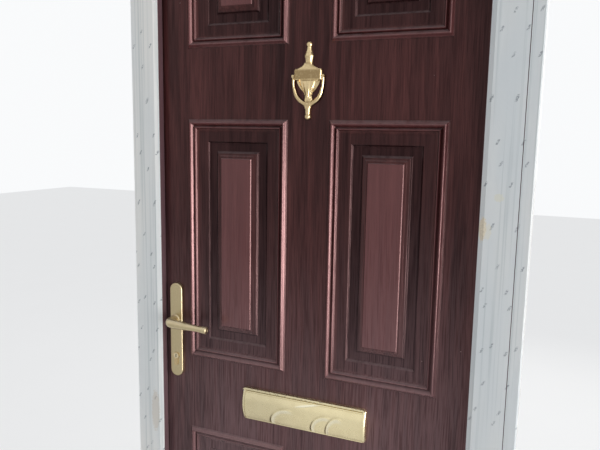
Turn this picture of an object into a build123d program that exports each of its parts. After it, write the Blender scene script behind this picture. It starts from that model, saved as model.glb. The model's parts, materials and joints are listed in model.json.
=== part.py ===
"""Six-panel entrance door in its frame.

The leaf is seen from outside: X runs to the right, Y runs into the house and Z is up. The origin is
the middle of the sill's underside, at half the frame's depth. All lengths are in millimetres.
"""
import math
import os

from build123d import *

os.makedirs("parts", exist_ok=True)

# Frame members
FRAME_DEPTH = 70.0
FACE_WIDTH = 60.0
BEVEL_WIDTH = 10.0
BEVEL_DEPTH = 6.5
STOP_LAP = 15.0
EDGE_GAP = 5.0
SEAL_GAP = 3.5
SEAL_WIDTH = 9.0
EXTENSION_WIDTH = 25.0
EXTENSION_WALL = 2.5
EXTENSION_BEVEL = 3.0
CHAMBER_WIDTH = 25.0
CHAMBER_DEPTH = 48.0
CHAMBER_EDGE = 5.0
STEEL_WALL = 2.0
STEEL_GAP = 0.5
FILM_THICKNESS = 0.3

# Door leaf
LEAF_WIDTH = 756.0
LEAF_HEIGHT = 2010.0
LEAF_THICKNESS = 44.0
SKIN_THICKNESS = 2.0
LOCK_STILE_WIDTH = 75.0
HINGE_STILE_WIDTH = 60.0
TOP_RAIL_HEIGHT = 60.0
BOTTOM_RAIL_HEIGHT = 80.0

# Moulded panels, from the bottom of the leaf up
PANEL_WIDTH = 250.0
MULLION_WIDTH = 94.0
PLINTH_HEIGHT = 215.0
LETTER_RAIL = 181.5
KNOCKER_RAIL = 156.5
UPPER_PANEL = 235.0
TOP_MARGIN = 113.5
FIELD_HEIGHT = 4.0

# Outline of a panel moulding: distance in from the panel's edge, and height above the leaf's face
MOULDING = (
    (0, 0), (1.2, 1.4), (4.0, 4.6), (6.6, 8.4), (8.0, 9.0), (9.4, 8.4), (11.5, 5.5), (14.0, 1.4), (15.0, 0.6),
    (16.0, 0.8), (18.0, 2.8), (19.5, 3.0), (22.5, 1.2), (25.0, 0.2), (27.5, -1.8), (30.0, -3.0), (49.0, -3.2),
    (50.0, -5.0), (53.0, -7.4), (57.0, -8.5), (70.0, -8.5), (77.0, -2.0), (78.5, -1.6), (85.0, 1.6),
    (86.5, 1.8), (88.0, 3.6), (90.0, FIELD_HEIGHT),
)
# The plainer back of the same moulding, about one skin thickness behind it
MOULDING_BACK = (
    (0, -2.0), (2.6, -0.4), (7.2, 5.6), (8.6, 5.8), (12.6, -0.6), (16.0, -1.6), (19.0, 0.6), (30.0, -5.2),
    (48.0, -5.4), (50.0, -8.6), (56.0, -10.6), (71.0, -10.6), (79.0, -3.8), (88.0, 1.2), (90.0, 2.0),
)

# Lock
BACKSET = 45.0
CYLINDER_DROP = 92.0
SPINDLE_HEIGHT = 1081.0
FACEPLATE_WIDTH = 20.0
FACEPLATE_THICKNESS = 3.0
FACEPLATE_LENGTH = 1600.0
CASE_THICKNESS = 16.0
CASE_WALL = 1.5
CASE_DEPTH = 64.0
CASE_ABOVE_SPINDLE = 54.0
CASE_BELOW_CYLINDER = 34.0
FOLLOWER_RADIUS = 11.0
FOLLOWER_HUB_RADIUS = 9.0
BOLT_THICKNESS = 12.0
LATCH_DROP = 36.0
LATCH_HEIGHT = 16.0
LATCH_LENGTH = 36.0
LATCH_THROW = 12.0
DEADBOLT_DROP = 63.0
DEADBOLT_HEIGHT = 20.0
DEADBOLT_LENGTH = 42.0
DEADBOLT_THROW = 20.0
HOOK_END_MARGIN = 220.0
HOOK_SETBACK = 12.0
HOOK_ARM = 30.0
HOOK_ARM_WIDTH = 12.0
HOOK_THICKNESS = 8.0
HOOK_EYE_RADIUS = 8.0
HOOK_PIN_RADIUS = 3.0
HOOK_CASE_DEPTH = 40.0
CYLINDER_RADIUS = 8.5
CYLINDER_LOBE_RADIUS = 5.0
CYLINDER_HEIGHT = 33.0
CYLINDER_STAND_OUT = 2.0
CYLINDER_BRIDGE = 8.0
PLUG_RADIUS = 6.5
CAM_RADIUS = 15.0
CAM_WIDTH = 9.4
CAM_GAP = 10.0
KEEP_THICKNESS = 2.0
KEEP_WIDTH = 24.0
KEEP_CLEARANCE = 1.0
POCKET_DEPTH = 18.0

# Lever handles
PLATE_BELOW_CYLINDER = 52.5
PLATE_WIDTH = 34.0
PLATE_THICKNESS = 9.0
PLATE_ABOVE_SPINDLE = 89.5
PLATE_EDGE_RADIUS = 3.0
PLATE_BOLT_MARGIN = 9.5
PLATE_BOLT_RADIUS = 2.5
SPINDLE_SIZE = 8.0
LEVER_LENGTH = 107.5
LEVER_STAND_OUT = 43.0
LEVER_BEND_RADIUS = 14.0
LEVER_NECK_RADIUS = 10.5
LEVER_BAR_RADIUS = 8.7
LEVER_WAIST_RADIUS = 7.5
LEVER_WAIST_INSET = 22.0
LEVER_TIP_RADIUS = 8.6
LEVER_TIP_ROUND = 2.8
LEVER_DISH_RADIUS = 4.4
LEVER_DISH_DEPTH = 1.6
LEVER_COLLAR_RADIUS = 12.0
LEVER_DROOP = 2.4
LEVER_JOURNAL_RADIUS = 8.0
SPRING_POCKET_RADIUS = 14.0
SPRING_POCKET_DEPTH = 4.0

# Letter plate
LETTER_HEIGHT = 901.0
LETTER_SIDE_MARGIN = 23.5
LETTER_PLATE_HEIGHT = 78.0
LETTER_BASE = 3.0
LETTER_BULGE = 11.0
LETTER_SLOT_WIDTH = 253.0
LETTER_SLOT_HEIGHT = 39.0
LETTER_CHEEK = 7.0
LETTER_LIP = 4.4
LETTER_LIP_STAND_OUT = 6.5
SLEEVE_WALL = 1.5
FLAP_THICKNESS = 1.8
FLAP_PIN_RADIUS = 1.2
FLAP_CURL_RADIUS = 2.6
FLAP_PIN_RISE = 30.0
FLAP_SPRING_RADIUS = 1.9
FLAP_SPRING_LENGTH = 26.0
FLAP_PIN_STAND_OUT = 3.0
INNER_FLAP_HEIGHT = 50.0
INNER_PIN_RISE = 26.0
INNER_FLAP_MARGIN = 4.5
LETTER_BOLT_MARGIN = 12.5
LETTER_BOLT_RADIUS = 2.0

# Urn knocker, with heights taken down from the top of its finial
KNOCKER_TOP = 1721.0
KNOCKER_BALL_RADIUS = 6.3
KNOCKER_BLOCK_HALF = 30.5
KNOCKER_BLOCK_TOP = 58.0
KNOCKER_BLOCK_BOTTOM = 78.4
KNOCKER_BLOCK_DEPTH = 10.0
KNOCKER_FOOT = 122.0
KNOCKER_PIVOT_DROP = 71.0
KNOCKER_PIVOT_STAND_OUT = 6.0
KNOCKER_PIN_RADIUS = 1.8
KNOCKER_EYE_RADIUS = 3.7
KNOCKER_PAD_THICKNESS = 3.4
STRIKER_WIDTH = 5.0
STRIKER_DEPTH = 4.6
STRIKER_BALL_STAND_OUT = 3.5
STRIKER_GAP = 0.5
STRIKER_LENGTH = 161.0
STRIKER_BALL_RADIUS = 6.5
KNOCKER_BOLT_RADIUS = 3.0
KNOCKER_BOLT_RISE = 8.0
KNOCKER_NECK = (8.6, 44.0)
KNOCKER_FINIAL = ((5.2, 15.0), (7.4, 22.0), (10.2, 28.2), (10.7, 30.0), (9.8, 33.0), (8.6, 37.0), (8.3, 44.0))
KNOCKER_SHOULDER = ((10.4, 48.6), (17.0, 52.6), (26.0, 56.0))
KNOCKER_BOWL = ((23.5, 8.2, 78.4), (22.0, 8.4, 84.0), (16.8, 8.2, 94.0), (9.6, 7.8, 103.0), (8.2, 7.2, 112.0))
KNOCKER_BOWL_FOOT = (9.6, 7.4)
KNOCKER_RIM = ((26.0, 78.4), (24.6, 85.0), (19.4, 94.0), (11.4, 103.0), (8.8, 109.0))
KNOCKER_RIM_THICKNESS = 3.2
KNOCKER_PAD_HALF = 7.0
KNOCKER_PAD_DROP = 11.5

# Hinges
HINGE_HEIGHTS = (300.0, 1060.0, 1840.0)
HINGE_LENGTH = 100.0
HINGE_KNUCKLE_RADIUS = 8.0
HINGE_PIN_RADIUS = 5.0
HINGE_LEAF_THICKNESS = 4.0
HINGE_LEAF_WIDTH = 62.0
HINGE_FRAME_LEAF_WIDTH = 34.0
HINGE_PIVOT_OUT = 7.0
HINGE_PIVOT_STAND_OUT = 12.0
HINGE_SCREW_RADIUS = 2.2
HINGE_SCREW_LENGTH = 20.0
HINGE_FRAME_SCREW_LENGTH = 10.0

# Shared fits
RUNNING_FIT = 0.05
SIDE_GAP = 0.3
POCKET_GAP = 0.5

# Places worked out from the sizes above
HALF_LEAF = LEAF_WIDTH / 2
REVEAL_HALF = HALF_LEAF - STOP_LAP
REBATE_HALF = HALF_LEAF + EDGE_GAP
OUTER_HALF = REVEAL_HALF + BEVEL_WIDTH + FACE_WIDTH
MEMBER_WIDTH = OUTER_HALF - REVEAL_HALF
FRAME_FRONT = -FRAME_DEPTH / 2
FRAME_BACK = FRAME_DEPTH / 2
LEAF_BACK = FRAME_BACK
LEAF_FRONT = LEAF_BACK - LEAF_THICKNESS
LEAF_MIDDLE = (LEAF_FRONT + LEAF_BACK) / 2
STOP_BACK = LEAF_FRONT - SEAL_GAP
LEAF_BOTTOM = OUTER_HALF - HALF_LEAF
LEAF_TOP = LEAF_BOTTOM + LEAF_HEIGHT
FRAME_HEIGHT = LEAF_TOP + LEAF_BOTTOM
HALF_HEIGHT = FRAME_HEIGHT / 2
CORE_FRONT = LEAF_FRONT + SKIN_THICKNESS
CORE_BACK = LEAF_BACK - SKIN_THICKNESS
MOULDING_WIDTH = MOULDING[-1][0]
PANEL_CENTRE = (MULLION_WIDTH + PANEL_WIDTH) / 2
LOWER_BOTTOM = LEAF_BOTTOM + PLINTH_HEIGHT
LOWER_PANEL = LETTER_HEIGHT - LETTER_RAIL / 2 - LOWER_BOTTOM
MIDDLE_BOTTOM = LOWER_BOTTOM + LOWER_PANEL + LETTER_RAIL
UPPER_BOTTOM = LEAF_TOP - TOP_MARGIN - UPPER_PANEL
MIDDLE_PANEL = UPPER_BOTTOM - KNOCKER_RAIL - MIDDLE_BOTTOM
PANEL_ROWS = ((LOWER_BOTTOM, LOWER_PANEL), (MIDDLE_BOTTOM, MIDDLE_PANEL), (UPPER_BOTTOM, UPPER_PANEL))

LOCK_EDGE = -HALF_LEAF
FACEPLATE_BACK = LOCK_EDGE + FACEPLATE_THICKNESS
SPINDLE_X = LOCK_EDGE + BACKSET
CYLINDER_Z = SPINDLE_HEIGHT - CYLINDER_DROP
LATCH_Z = SPINDLE_HEIGHT - LATCH_DROP
DEADBOLT_Z = SPINDLE_HEIGHT - DEADBOLT_DROP
CASE_TOP = SPINDLE_HEIGHT + CASE_ABOVE_SPINDLE
CASE_BOTTOM = CYLINDER_Z - CASE_BELOW_CYLINDER
HOOK_X = LOCK_EDGE + HOOK_SETBACK
LOCK_MIDDLE_Z = (SPINDLE_HEIGHT + CYLINDER_Z) / 2
HOOK_SPACING = FACEPLATE_LENGTH / 2 - HOOK_END_MARGIN
HOOK_HEIGHTS = (LOCK_MIDDLE_Z + HOOK_SPACING, LOCK_MIDDLE_Z - HOOK_SPACING)
HOOK_SWEEP = math.hypot(HOOK_ARM, HOOK_ARM_WIDTH)
PLATE_LENGTH = PLATE_ABOVE_SPINDLE + CYLINDER_DROP + PLATE_BELOW_CYLINDER
PLATE_CENTRE_Z = SPINDLE_HEIGHT + PLATE_ABOVE_SPINDLE - PLATE_LENGTH / 2
LETTER_PLATE_WIDTH = LETTER_SLOT_WIDTH + 2 * LETTER_SIDE_MARGIN
LETTER_BOLT_SPACING = LETTER_SLOT_WIDTH + 2 * LETTER_BOLT_MARGIN
FLAP_PIN_Z = LETTER_HEIGHT + FLAP_PIN_RISE
FLAP_PIN_Y = LEAF_FRONT - LETTER_BASE - FLAP_PIN_STAND_OUT
INNER_PIN_Z = LETTER_HEIGHT + INNER_PIN_RISE
INNER_PIN_Y = LEAF_BACK + LETTER_BASE + FLAP_PIN_STAND_OUT
KNOCKER_PIVOT_Z = KNOCKER_TOP - KNOCKER_PIVOT_DROP
KNOCKER_PIVOT_Y = LEAF_FRONT - KNOCKER_PIVOT_STAND_OUT
KNOCKER_BOLT_Z = KNOCKER_PIVOT_Z + KNOCKER_BOLT_RISE
HINGE_X = HALF_LEAF + HINGE_PIVOT_OUT
HINGE_Y = LEAF_BACK + HINGE_PIVOT_STAND_OUT


def block(x0, x1, y0, y1, z0, z1):
    """Box between two opposite corners."""
    return Pos((x0 + x1) / 2, (y0 + y1) / 2, (z0 + z1) / 2) * Box(abs(x1 - x0), abs(y1 - y0), abs(z1 - z0))


def rod_x(radius, x0, x1, y, z):
    """Round bar along X."""
    return Pos((x0 + x1) / 2, y, z) * Rot(0, 90, 0) * Cylinder(radius, abs(x1 - x0))


def rod_y(radius, y0, y1, x, z):
    """Round bar along Y."""
    return Pos(x, (y0 + y1) / 2, z) * Rot(90, 0, 0) * Cylinder(radius, abs(y1 - y0))


def rod_z(radius, z0, z1, x, y):
    """Round bar along Z."""
    return Pos(x, y, (z0 + z1) / 2) * Cylinder(radius, abs(z1 - z0))


def polygon(points):
    """Flat face with straight edges through the points."""
    return make_face(Polyline(*points, close=True))


def across_x(outline, x0, x1):
    """Solid with an outline given in (Y, Z), from x0 to x1."""
    return extrude(Plane.YZ.offset(x0) * outline, x1 - x0)


def across_y(outline, y0, y1):
    """Solid with an outline given in (X, Z), from y0 to y1."""
    return extrude(Plane.XZ.offset(-y0) * outline, y0 - y1)


def mitred_side(section, half_width, half_height, reach):
    """One upright of a mitred ring on its -X side, about the ring's middle.

    The section is given as (distance in from the outer edge, Y), and reach is how far in it goes.
    """
    bar = Pos(-half_width, 0, -half_height) * extrude(section, 2 * half_height)
    outline = polygon([
        (-half_width, -half_height), (-half_width, half_height),
        (-half_width + reach, half_height - reach), (-half_width + reach, -half_height + reach),
    ])
    return bar & across_y(outline, -FRAME_DEPTH, FRAME_DEPTH)


def mitred_ring(section, half_width, half_height, reach):
    """The four members of a mitred ring about the origin: left, right, bottom and top."""
    left = mitred_side(section, half_width, half_height, reach)
    bottom = Rot(0, -90, 0) * mitred_side(section, half_height, half_width, reach)
    return left, mirror(left, about=Plane.YZ), bottom, mirror(bottom, about=Plane.XY)


def frame_ring(points):
    """A mitred ring that follows the frame, from points given as (distance out from X = 0, Y)."""
    section = polygon([(OUTER_HALF - u, y) for u, y in points])
    sides = mitred_ring(section, OUTER_HALF, HALF_HEIGHT, MEMBER_WIDTH)
    return [Pos(0, 0, HALF_HEIGHT) * side for side in sides]


def euro_profile(gap):
    """Outline of a profile cylinder in (X, Z), grown by gap."""
    lobe_z = CYLINDER_Z + CYLINDER_RADIUS - CYLINDER_HEIGHT + CYLINDER_LOBE_RADIUS
    barrel = Pos(SPINDLE_X, CYLINDER_Z) * Circle(CYLINDER_RADIUS + gap)
    lobe = Pos(SPINDLE_X, lobe_z) * Circle(CYLINDER_LOBE_RADIUS + gap)
    web = Rectangle(2 * (CYLINDER_LOBE_RADIUS + gap), CYLINDER_Z - lobe_z)
    web = Pos(SPINDLE_X, (CYLINDER_Z + lobe_z) / 2) * web
    return barrel + lobe + web


def lobe_middle():
    """Height of the middle of the cylinder's bridge, where its screw goes."""
    return CYLINDER_Z + CYLINDER_RADIUS - CYLINDER_HEIGHT + CYLINDER_BRIDGE / 2


# Frame, its reinforcement, seal and protective film


def keep_openings():
    """Bolt openings of the lock side as (bottom, top, half width) lists, one list for each keep."""
    bolts = []
    for middle, height in ((LATCH_Z, LATCH_HEIGHT), (DEADBOLT_Z, DEADBOLT_HEIGHT)):
        half = height / 2 + KEEP_CLEARANCE
        bolts.append((middle - half, middle + half, BOLT_THICKNESS / 2 + KEEP_CLEARANCE))
    keeps = [bolts]
    for height in HOOK_HEIGHTS:
        low = height - HOOK_EYE_RADIUS - KEEP_CLEARANCE
        high = height + HOOK_SWEEP + KEEP_CLEARANCE
        keeps.append([(low, high, HOOK_THICKNESS / 2 + KEEP_CLEARANCE)])
    return keeps


def keep_span(openings):
    """Bottom and top of a keep plate round its openings."""
    margin = KEEP_WIDTH * 0.75
    return min(o[0] for o in openings) - margin, max(o[1] for o in openings) + margin


def keep_screw_places():
    """Heights of the keep screws, one above and one below the openings of each keep."""
    places = []
    for openings in keep_openings():
        low, high = keep_span(openings)
        places += [low + KEEP_WIDTH / 3, high - KEEP_WIDTH / 3]
    return places


def keep_screw(height, gap):
    """Countersunk screw that holds a keep, grown by gap for its hole."""
    head = Pos(-REBATE_HALF + KEEP_THICKNESS / 2, LEAF_MIDDLE, height) * Rot(0, -90, 0) * Cone(
        4.0 + gap, 2.0 + gap, KEEP_THICKNESS)
    return head + rod_x(2.0 + gap, -REBATE_HALF, -REBATE_HALF - POCKET_DEPTH + 1.0, LEAF_MIDDLE, height)


def make_frame():
    """The four mitred frame members, with their chambers and pockets."""
    face = REVEAL_HALF + BEVEL_WIDTH
    members = frame_ring([
        (REVEAL_HALF, FRAME_FRONT + BEVEL_DEPTH), (face, FRAME_FRONT), (OUTER_HALF, FRAME_FRONT),
        (OUTER_HALF, FRAME_BACK), (REBATE_HALF, FRAME_BACK), (REBATE_HALF, STOP_BACK), (REVEAL_HALF, STOP_BACK),
    ])
    outer = OUTER_HALF - CHAMBER_EDGE
    chambers = frame_ring([
        (outer - CHAMBER_WIDTH, -CHAMBER_DEPTH / 2), (outer, -CHAMBER_DEPTH / 2),
        (outer, CHAMBER_DEPTH / 2), (outer - CHAMBER_WIDTH, CHAMBER_DEPTH / 2),
    ])
    left, right, bottom, top = [member - chamber for member, chamber in zip(members, chambers)]
    for openings in keep_openings():
        for low, high, half in openings:
            left -= block(-REBATE_HALF - POCKET_DEPTH, -REBATE_HALF, LEAF_MIDDLE - half, LEAF_MIDDLE + half,
                          low, high)
    for height in keep_screw_places():
        left -= rod_x(2.0 + RUNNING_FIT, -REBATE_HALF, -REBATE_HALF - POCKET_DEPTH, LEAF_MIDDLE, height)
    for x, z in hinge_screw_places(frame_side=True):
        start = FRAME_BACK - HINGE_FRAME_SCREW_LENGTH
        right -= rod_y(HINGE_SCREW_RADIUS + RUNNING_FIT, start, FRAME_BACK, x, z)
    return left, right, bottom, top


def make_reinforcement():
    """Steel box sections in the chambers of the four members."""
    outer = OUTER_HALF - CHAMBER_EDGE - STEEL_GAP
    inner = OUTER_HALF - CHAMBER_EDGE - CHAMBER_WIDTH + STEEL_GAP
    half = CHAMBER_DEPTH / 2 - STEEL_GAP
    low = MEMBER_WIDTH
    high = FRAME_HEIGHT - MEMBER_WIDTH
    upright = block(inner, outer, -half, half, low, high)
    upright -= block(inner + STEEL_WALL, outer - STEEL_WALL, -half + STEEL_WALL, half - STEEL_WALL, low, high)
    drop = HALF_HEIGHT - OUTER_HALF
    cross = block(-REVEAL_HALF, REVEAL_HALF, -half, half, inner + drop, outer + drop)
    cross -= block(-REVEAL_HALF, REVEAL_HALF, -half + STEEL_WALL, half - STEEL_WALL,
                   inner + drop + STEEL_WALL, outer + drop - STEEL_WALL)
    return [upright, mirror(upright, about=Plane.YZ), Pos(0, 0, HALF_HEIGHT) * cross,
            Pos(0, 0, HALF_HEIGHT) * mirror(cross, about=Plane.XY)]


def make_seal():
    """Bubble seal on the inner side of the frame's stop, all round the leaf."""
    start = REVEAL_HALF + 1.5
    end = start + SEAL_WIDTH
    tip = LEAF_FRONT - SIDE_GAP
    sides = frame_ring([
        (start, STOP_BACK), (start + 1.0, tip - 0.9), (start + 3.0, tip), (end - 3.0, tip),
        (end - 1.0, tip - 0.9), (end, STOP_BACK),
    ])
    return sides[0] + sides[1] + sides[2] + sides[3]


def make_extension():
    """Hollow strip that widens the hinge jamb, with an eased inner edge and a bevelled outer one."""
    x0, x1 = OUTER_HALF, OUTER_HALF + EXTENSION_WIDTH
    ease = 1.2
    bevel = EXTENSION_BEVEL
    outline = polygon([
        (x0, FRAME_BACK), (x0, FRAME_FRONT + ease), (x0 + ease, FRAME_FRONT), (x1 - bevel, FRAME_FRONT),
        (x1, FRAME_FRONT + bevel), (x1, FRAME_BACK),
    ])
    wall = EXTENSION_WALL
    hollow = block(x0 + wall, x1 - wall, FRAME_FRONT + wall, FRAME_BACK - wall, 0, FRAME_HEIGHT)
    return extrude(outline, FRAME_HEIGHT) - hollow


def make_film():
    """Protective film on the outside faces and bevels of the frame and its extension strip."""
    face = REVEAL_HALF + BEVEL_WIDTH
    slope = BEVEL_DEPTH / BEVEL_WIDTH
    edge = REVEAL_HALF + 1.0
    sides = frame_ring([
        (edge, FRAME_FRONT + BEVEL_DEPTH - slope), (face, FRAME_FRONT), (OUTER_HALF, FRAME_FRONT),
        (OUTER_HALF, FRAME_FRONT - FILM_THICKNESS), (face - 0.1, FRAME_FRONT - FILM_THICKNESS),
        (edge - 0.2, FRAME_FRONT + BEVEL_DEPTH - slope - FILM_THICKNESS),
    ])
    x0, x1 = OUTER_HALF + 1.4, OUTER_HALF + EXTENSION_WIDTH
    bevel = EXTENSION_BEVEL
    thick = FILM_THICKNESS
    strip = extrude(polygon([
        (x0, FRAME_FRONT), (x1 - bevel, FRAME_FRONT), (x1, FRAME_FRONT + bevel),
        (x1, FRAME_FRONT + bevel - thick * math.sqrt(2)),
        (x1 - bevel + thick * (math.sqrt(2) - 1), FRAME_FRONT - thick), (x0, FRAME_FRONT - thick),
    ]), FRAME_HEIGHT)
    return [*sides, strip]


def make_keeps():
    """Keep plates on the lock side of the rebate, each with its bolt openings."""
    plates = []
    for openings in keep_openings():
        low, high = keep_span(openings)
        plate = block(-REBATE_HALF, -REBATE_HALF + KEEP_THICKNESS, LEAF_MIDDLE - KEEP_WIDTH / 2,
                      LEAF_MIDDLE + KEEP_WIDTH / 2, low, high)
        plate = fillet(plate.edges().filter_by(Axis.X), 4.0)
        for bottom, top, half in openings:
            plate -= block(-REBATE_HALF, -REBATE_HALF + KEEP_THICKNESS, LEAF_MIDDLE - half, LEAF_MIDDLE + half,
                           bottom, top)
        for height in (low + KEEP_WIDTH / 3, high - KEEP_WIDTH / 3):
            plate -= keep_screw(height, RUNNING_FIT)
        plates.append(plate)
    return plates


# Door leaf


def make_skin(face, outward):
    """One moulded skin. face is its Y, and outward is -1 for the outside skin and 1 for the inside one."""
    def height(h):
        return face + outward * h

    front = [(d, height(h)) for d, h in MOULDING]
    back = [(d, height(h)) for d, h in reversed(MOULDING_BACK)]
    section = polygon(front + back)
    inner_face = height(-SKIN_THICKNESS)
    plate = block(-HALF_LEAF, HALF_LEAF, face, inner_face, LEAF_BOTTOM, LEAF_TOP)
    pieces = []
    for bottom, tall in PANEL_ROWS:
        sides = mitred_ring(section, PANEL_WIDTH / 2, tall / 2, MOULDING_WIDTH)
        field = block(-PANEL_WIDTH / 2 + MOULDING_WIDTH, PANEL_WIDTH / 2 - MOULDING_WIDTH, height(FIELD_HEIGHT),
                      height(MOULDING_BACK[-1][1]), -tall / 2 + MOULDING_WIDTH, tall / 2 - MOULDING_WIDTH)
        panel = field.fuse(*sides)
        for x in (-PANEL_CENTRE, PANEL_CENTRE):
            middle = Pos(x, 0, bottom + tall / 2)
            plate -= middle * block(-PANEL_WIDTH / 2, PANEL_WIDTH / 2, face - 20, face + 20,
                                    -tall / 2, tall / 2)
            pieces.append(middle * panel)
    return plate.fuse(*pieces)


def leaf_holes(y0, y1):
    """Everything that passes through the leaf from face to face, between two depths."""
    holes = [rod_y(SPRING_POCKET_RADIUS - 4, y0, y1, SPINDLE_X, SPINDLE_HEIGHT)]
    holes.append(across_y(euro_profile(POCKET_GAP), y0, y1))
    for z in plate_bolt_heights():
        holes.append(rod_y(PLATE_BOLT_RADIUS + SIDE_GAP, y0, y1, SPINDLE_X, z))
    half_width = LETTER_SLOT_WIDTH / 2 + SLEEVE_WALL + SIDE_GAP
    half_height = LETTER_SLOT_HEIGHT / 2 + SLEEVE_WALL + SIDE_GAP
    holes.append(block(-half_width, half_width, y0, y1,
                       LETTER_HEIGHT - half_height, LETTER_HEIGHT + half_height))
    for x in (-LETTER_BOLT_SPACING / 2, LETTER_BOLT_SPACING / 2):
        holes.append(rod_y(LETTER_BOLT_RADIUS + SIDE_GAP, y0, y1, x, LETTER_HEIGHT))
    holes.append(rod_y(KNOCKER_BOLT_RADIUS + SIDE_GAP, y0, y1, 0, KNOCKER_BOLT_Z))
    return holes


def hinge_screw_places(frame_side):
    """Places of the hinge screws as (X, Z), on the frame or on the leaf."""
    if frame_side:
        x = HINGE_X + HINGE_KNUCKLE_RADIUS + HINGE_FRAME_LEAF_WIDTH * 0.55
    else:
        x = HALF_LEAF - HINGE_LEAF_WIDTH * 0.55
    spread = HINGE_LENGTH * 0.34
    return [(x, z + side * spread) for z in HINGE_HEIGHTS for side in (-1, 1)]


def make_leaf():
    """Skins, core, stiles and rails of the leaf."""
    outer = make_skin(LEAF_FRONT, -1)
    inner = make_skin(LEAF_BACK, 1)
    left = -HALF_LEAF + LOCK_STILE_WIDTH
    right = HALF_LEAF - HINGE_STILE_WIDTH
    low = LEAF_BOTTOM + BOTTOM_RAIL_HEIGHT
    high = LEAF_TOP - TOP_RAIL_HEIGHT
    filling = block(left, right, LEAF_FRONT - 20, LEAF_BACK + 20, low, high) - outer - inner
    core = min(filling.solids(), key=lambda s: abs(s.center().Y - LEAF_MIDDLE))
    lock_stile = block(-HALF_LEAF, left, CORE_FRONT, CORE_BACK, LEAF_BOTTOM, LEAF_TOP)
    hinge_stile = block(right, HALF_LEAF, CORE_FRONT, CORE_BACK, LEAF_BOTTOM, LEAF_TOP)
    top_rail = block(left, right, CORE_FRONT, CORE_BACK, high, LEAF_TOP)
    bottom_rail = block(left, right, CORE_FRONT, CORE_BACK, LEAF_BOTTOM, low)
    holes = leaf_holes(LEAF_FRONT - 20, LEAF_BACK + 20)
    outer -= holes
    inner -= holes
    core -= holes[3:]
    lock_stile -= holes[:4]
    lock_stile -= lock_pockets()
    for x, z in hinge_screw_places(frame_side=False):
        hole = rod_y(HINGE_SCREW_RADIUS + RUNNING_FIT, LEAF_BACK - HINGE_SCREW_LENGTH, LEAF_BACK, x, z)
        inner -= hole
        hinge_stile -= hole
    return outer, inner, core, lock_stile, hinge_stile, top_rail, bottom_rail


# Multipoint lock


def faceplate_span():
    """Bottom and top of the lock's faceplate."""
    return LOCK_MIDDLE_Z - FACEPLATE_LENGTH / 2, LOCK_MIDDLE_Z + FACEPLATE_LENGTH / 2


def hook_case_span(height):
    """Bottom and top of the case round a hook whose pivot is at this height."""
    return height - HOOK_EYE_RADIUS - 8, height + HOOK_SWEEP + 8


def case_shell(depth, low, high):
    """Case behind the faceplate, open towards it."""
    half = CASE_THICKNESS / 2
    outer = block(FACEPLATE_BACK, FACEPLATE_BACK + depth, LEAF_MIDDLE - half, LEAF_MIDDLE + half, low, high)
    wall = CASE_WALL
    return outer - block(FACEPLATE_BACK, FACEPLATE_BACK + depth - wall, LEAF_MIDDLE - half + wall,
                         LEAF_MIDDLE + half - wall, low + wall, high - wall)


def lock_pockets():
    """Routed room in the lock stile for the faceplate and the cases."""
    low, high = faceplate_span()
    half_plate = FACEPLATE_WIDTH / 2
    pockets = [block(LOCK_EDGE, FACEPLATE_BACK, LEAF_MIDDLE - half_plate, LEAF_MIDDLE + half_plate,
                     low, high)]
    half = CASE_THICKNESS / 2 + POCKET_GAP
    cases = [(CASE_DEPTH, CASE_BOTTOM, CASE_TOP)]
    cases += [(HOOK_CASE_DEPTH, *hook_case_span(height)) for height in HOOK_HEIGHTS]
    for depth, bottom, top in cases:
        pockets.append(block(LOCK_EDGE, FACEPLATE_BACK + depth + POCKET_GAP, LEAF_MIDDLE - half,
                             LEAF_MIDDLE + half, bottom - POCKET_GAP, top + POCKET_GAP))
    for height in faceplate_screw_heights():
        pockets.append(rod_x(1.8 + RUNNING_FIT, LOCK_EDGE, LOCK_EDGE + 25, LEAF_MIDDLE, height))
    return pockets


def faceplate_screw_heights():
    """Heights of the faceplate screws: near its ends and between the cases."""
    low, high = faceplate_span()
    between = HOOK_SPACING * 0.55
    return [low + 20, LOCK_MIDDLE_Z - between, LOCK_MIDDLE_Z + between, high - 20]


def make_faceplate():
    """Long faceplate with openings for the latch, the deadbolt and the hooks."""
    low, high = faceplate_span()
    half = FACEPLATE_WIDTH / 2
    plate = block(LOCK_EDGE, FACEPLATE_BACK, LEAF_MIDDLE - half, LEAF_MIDDLE + half, low, high)
    for middle, height in ((LATCH_Z, LATCH_HEIGHT), (DEADBOLT_Z, DEADBOLT_HEIGHT)):
        reach = BOLT_THICKNESS / 2 + SIDE_GAP
        plate -= block(LOCK_EDGE, FACEPLATE_BACK, LEAF_MIDDLE - reach, LEAF_MIDDLE + reach,
                       middle - height / 2 - SIDE_GAP, middle + height / 2 + SIDE_GAP)
    for height in HOOK_HEIGHTS:
        reach = HOOK_THICKNESS / 2 + KEEP_CLEARANCE
        plate -= block(LOCK_EDGE, FACEPLATE_BACK, LEAF_MIDDLE - reach, LEAF_MIDDLE + reach,
                       height - HOOK_EYE_RADIUS - SIDE_GAP, height + HOOK_SWEEP + SIDE_GAP)
    for screw in lock_screws(RUNNING_FIT):
        plate -= screw
    return plate


def lock_screws(gap):
    """Countersunk faceplate screws and the longer screw that holds the cylinder, grown by gap."""
    screws = []
    lengths = [(height, 25.0, 1.8) for height in faceplate_screw_heights()]
    lengths.append((lobe_middle(), BACKSET + 2.0, 2.4))
    for height, length, radius in lengths:
        head = Rot(0, 90, 0) * Cone(radius + 2.2 + gap, radius + gap, 2.5)
        head = Pos(LOCK_EDGE + 1.25, LEAF_MIDDLE, height) * head
        screws.append(head + rod_x(radius + gap, LOCK_EDGE, LOCK_EDGE + length, LEAF_MIDDLE, height))
    return screws


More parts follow.
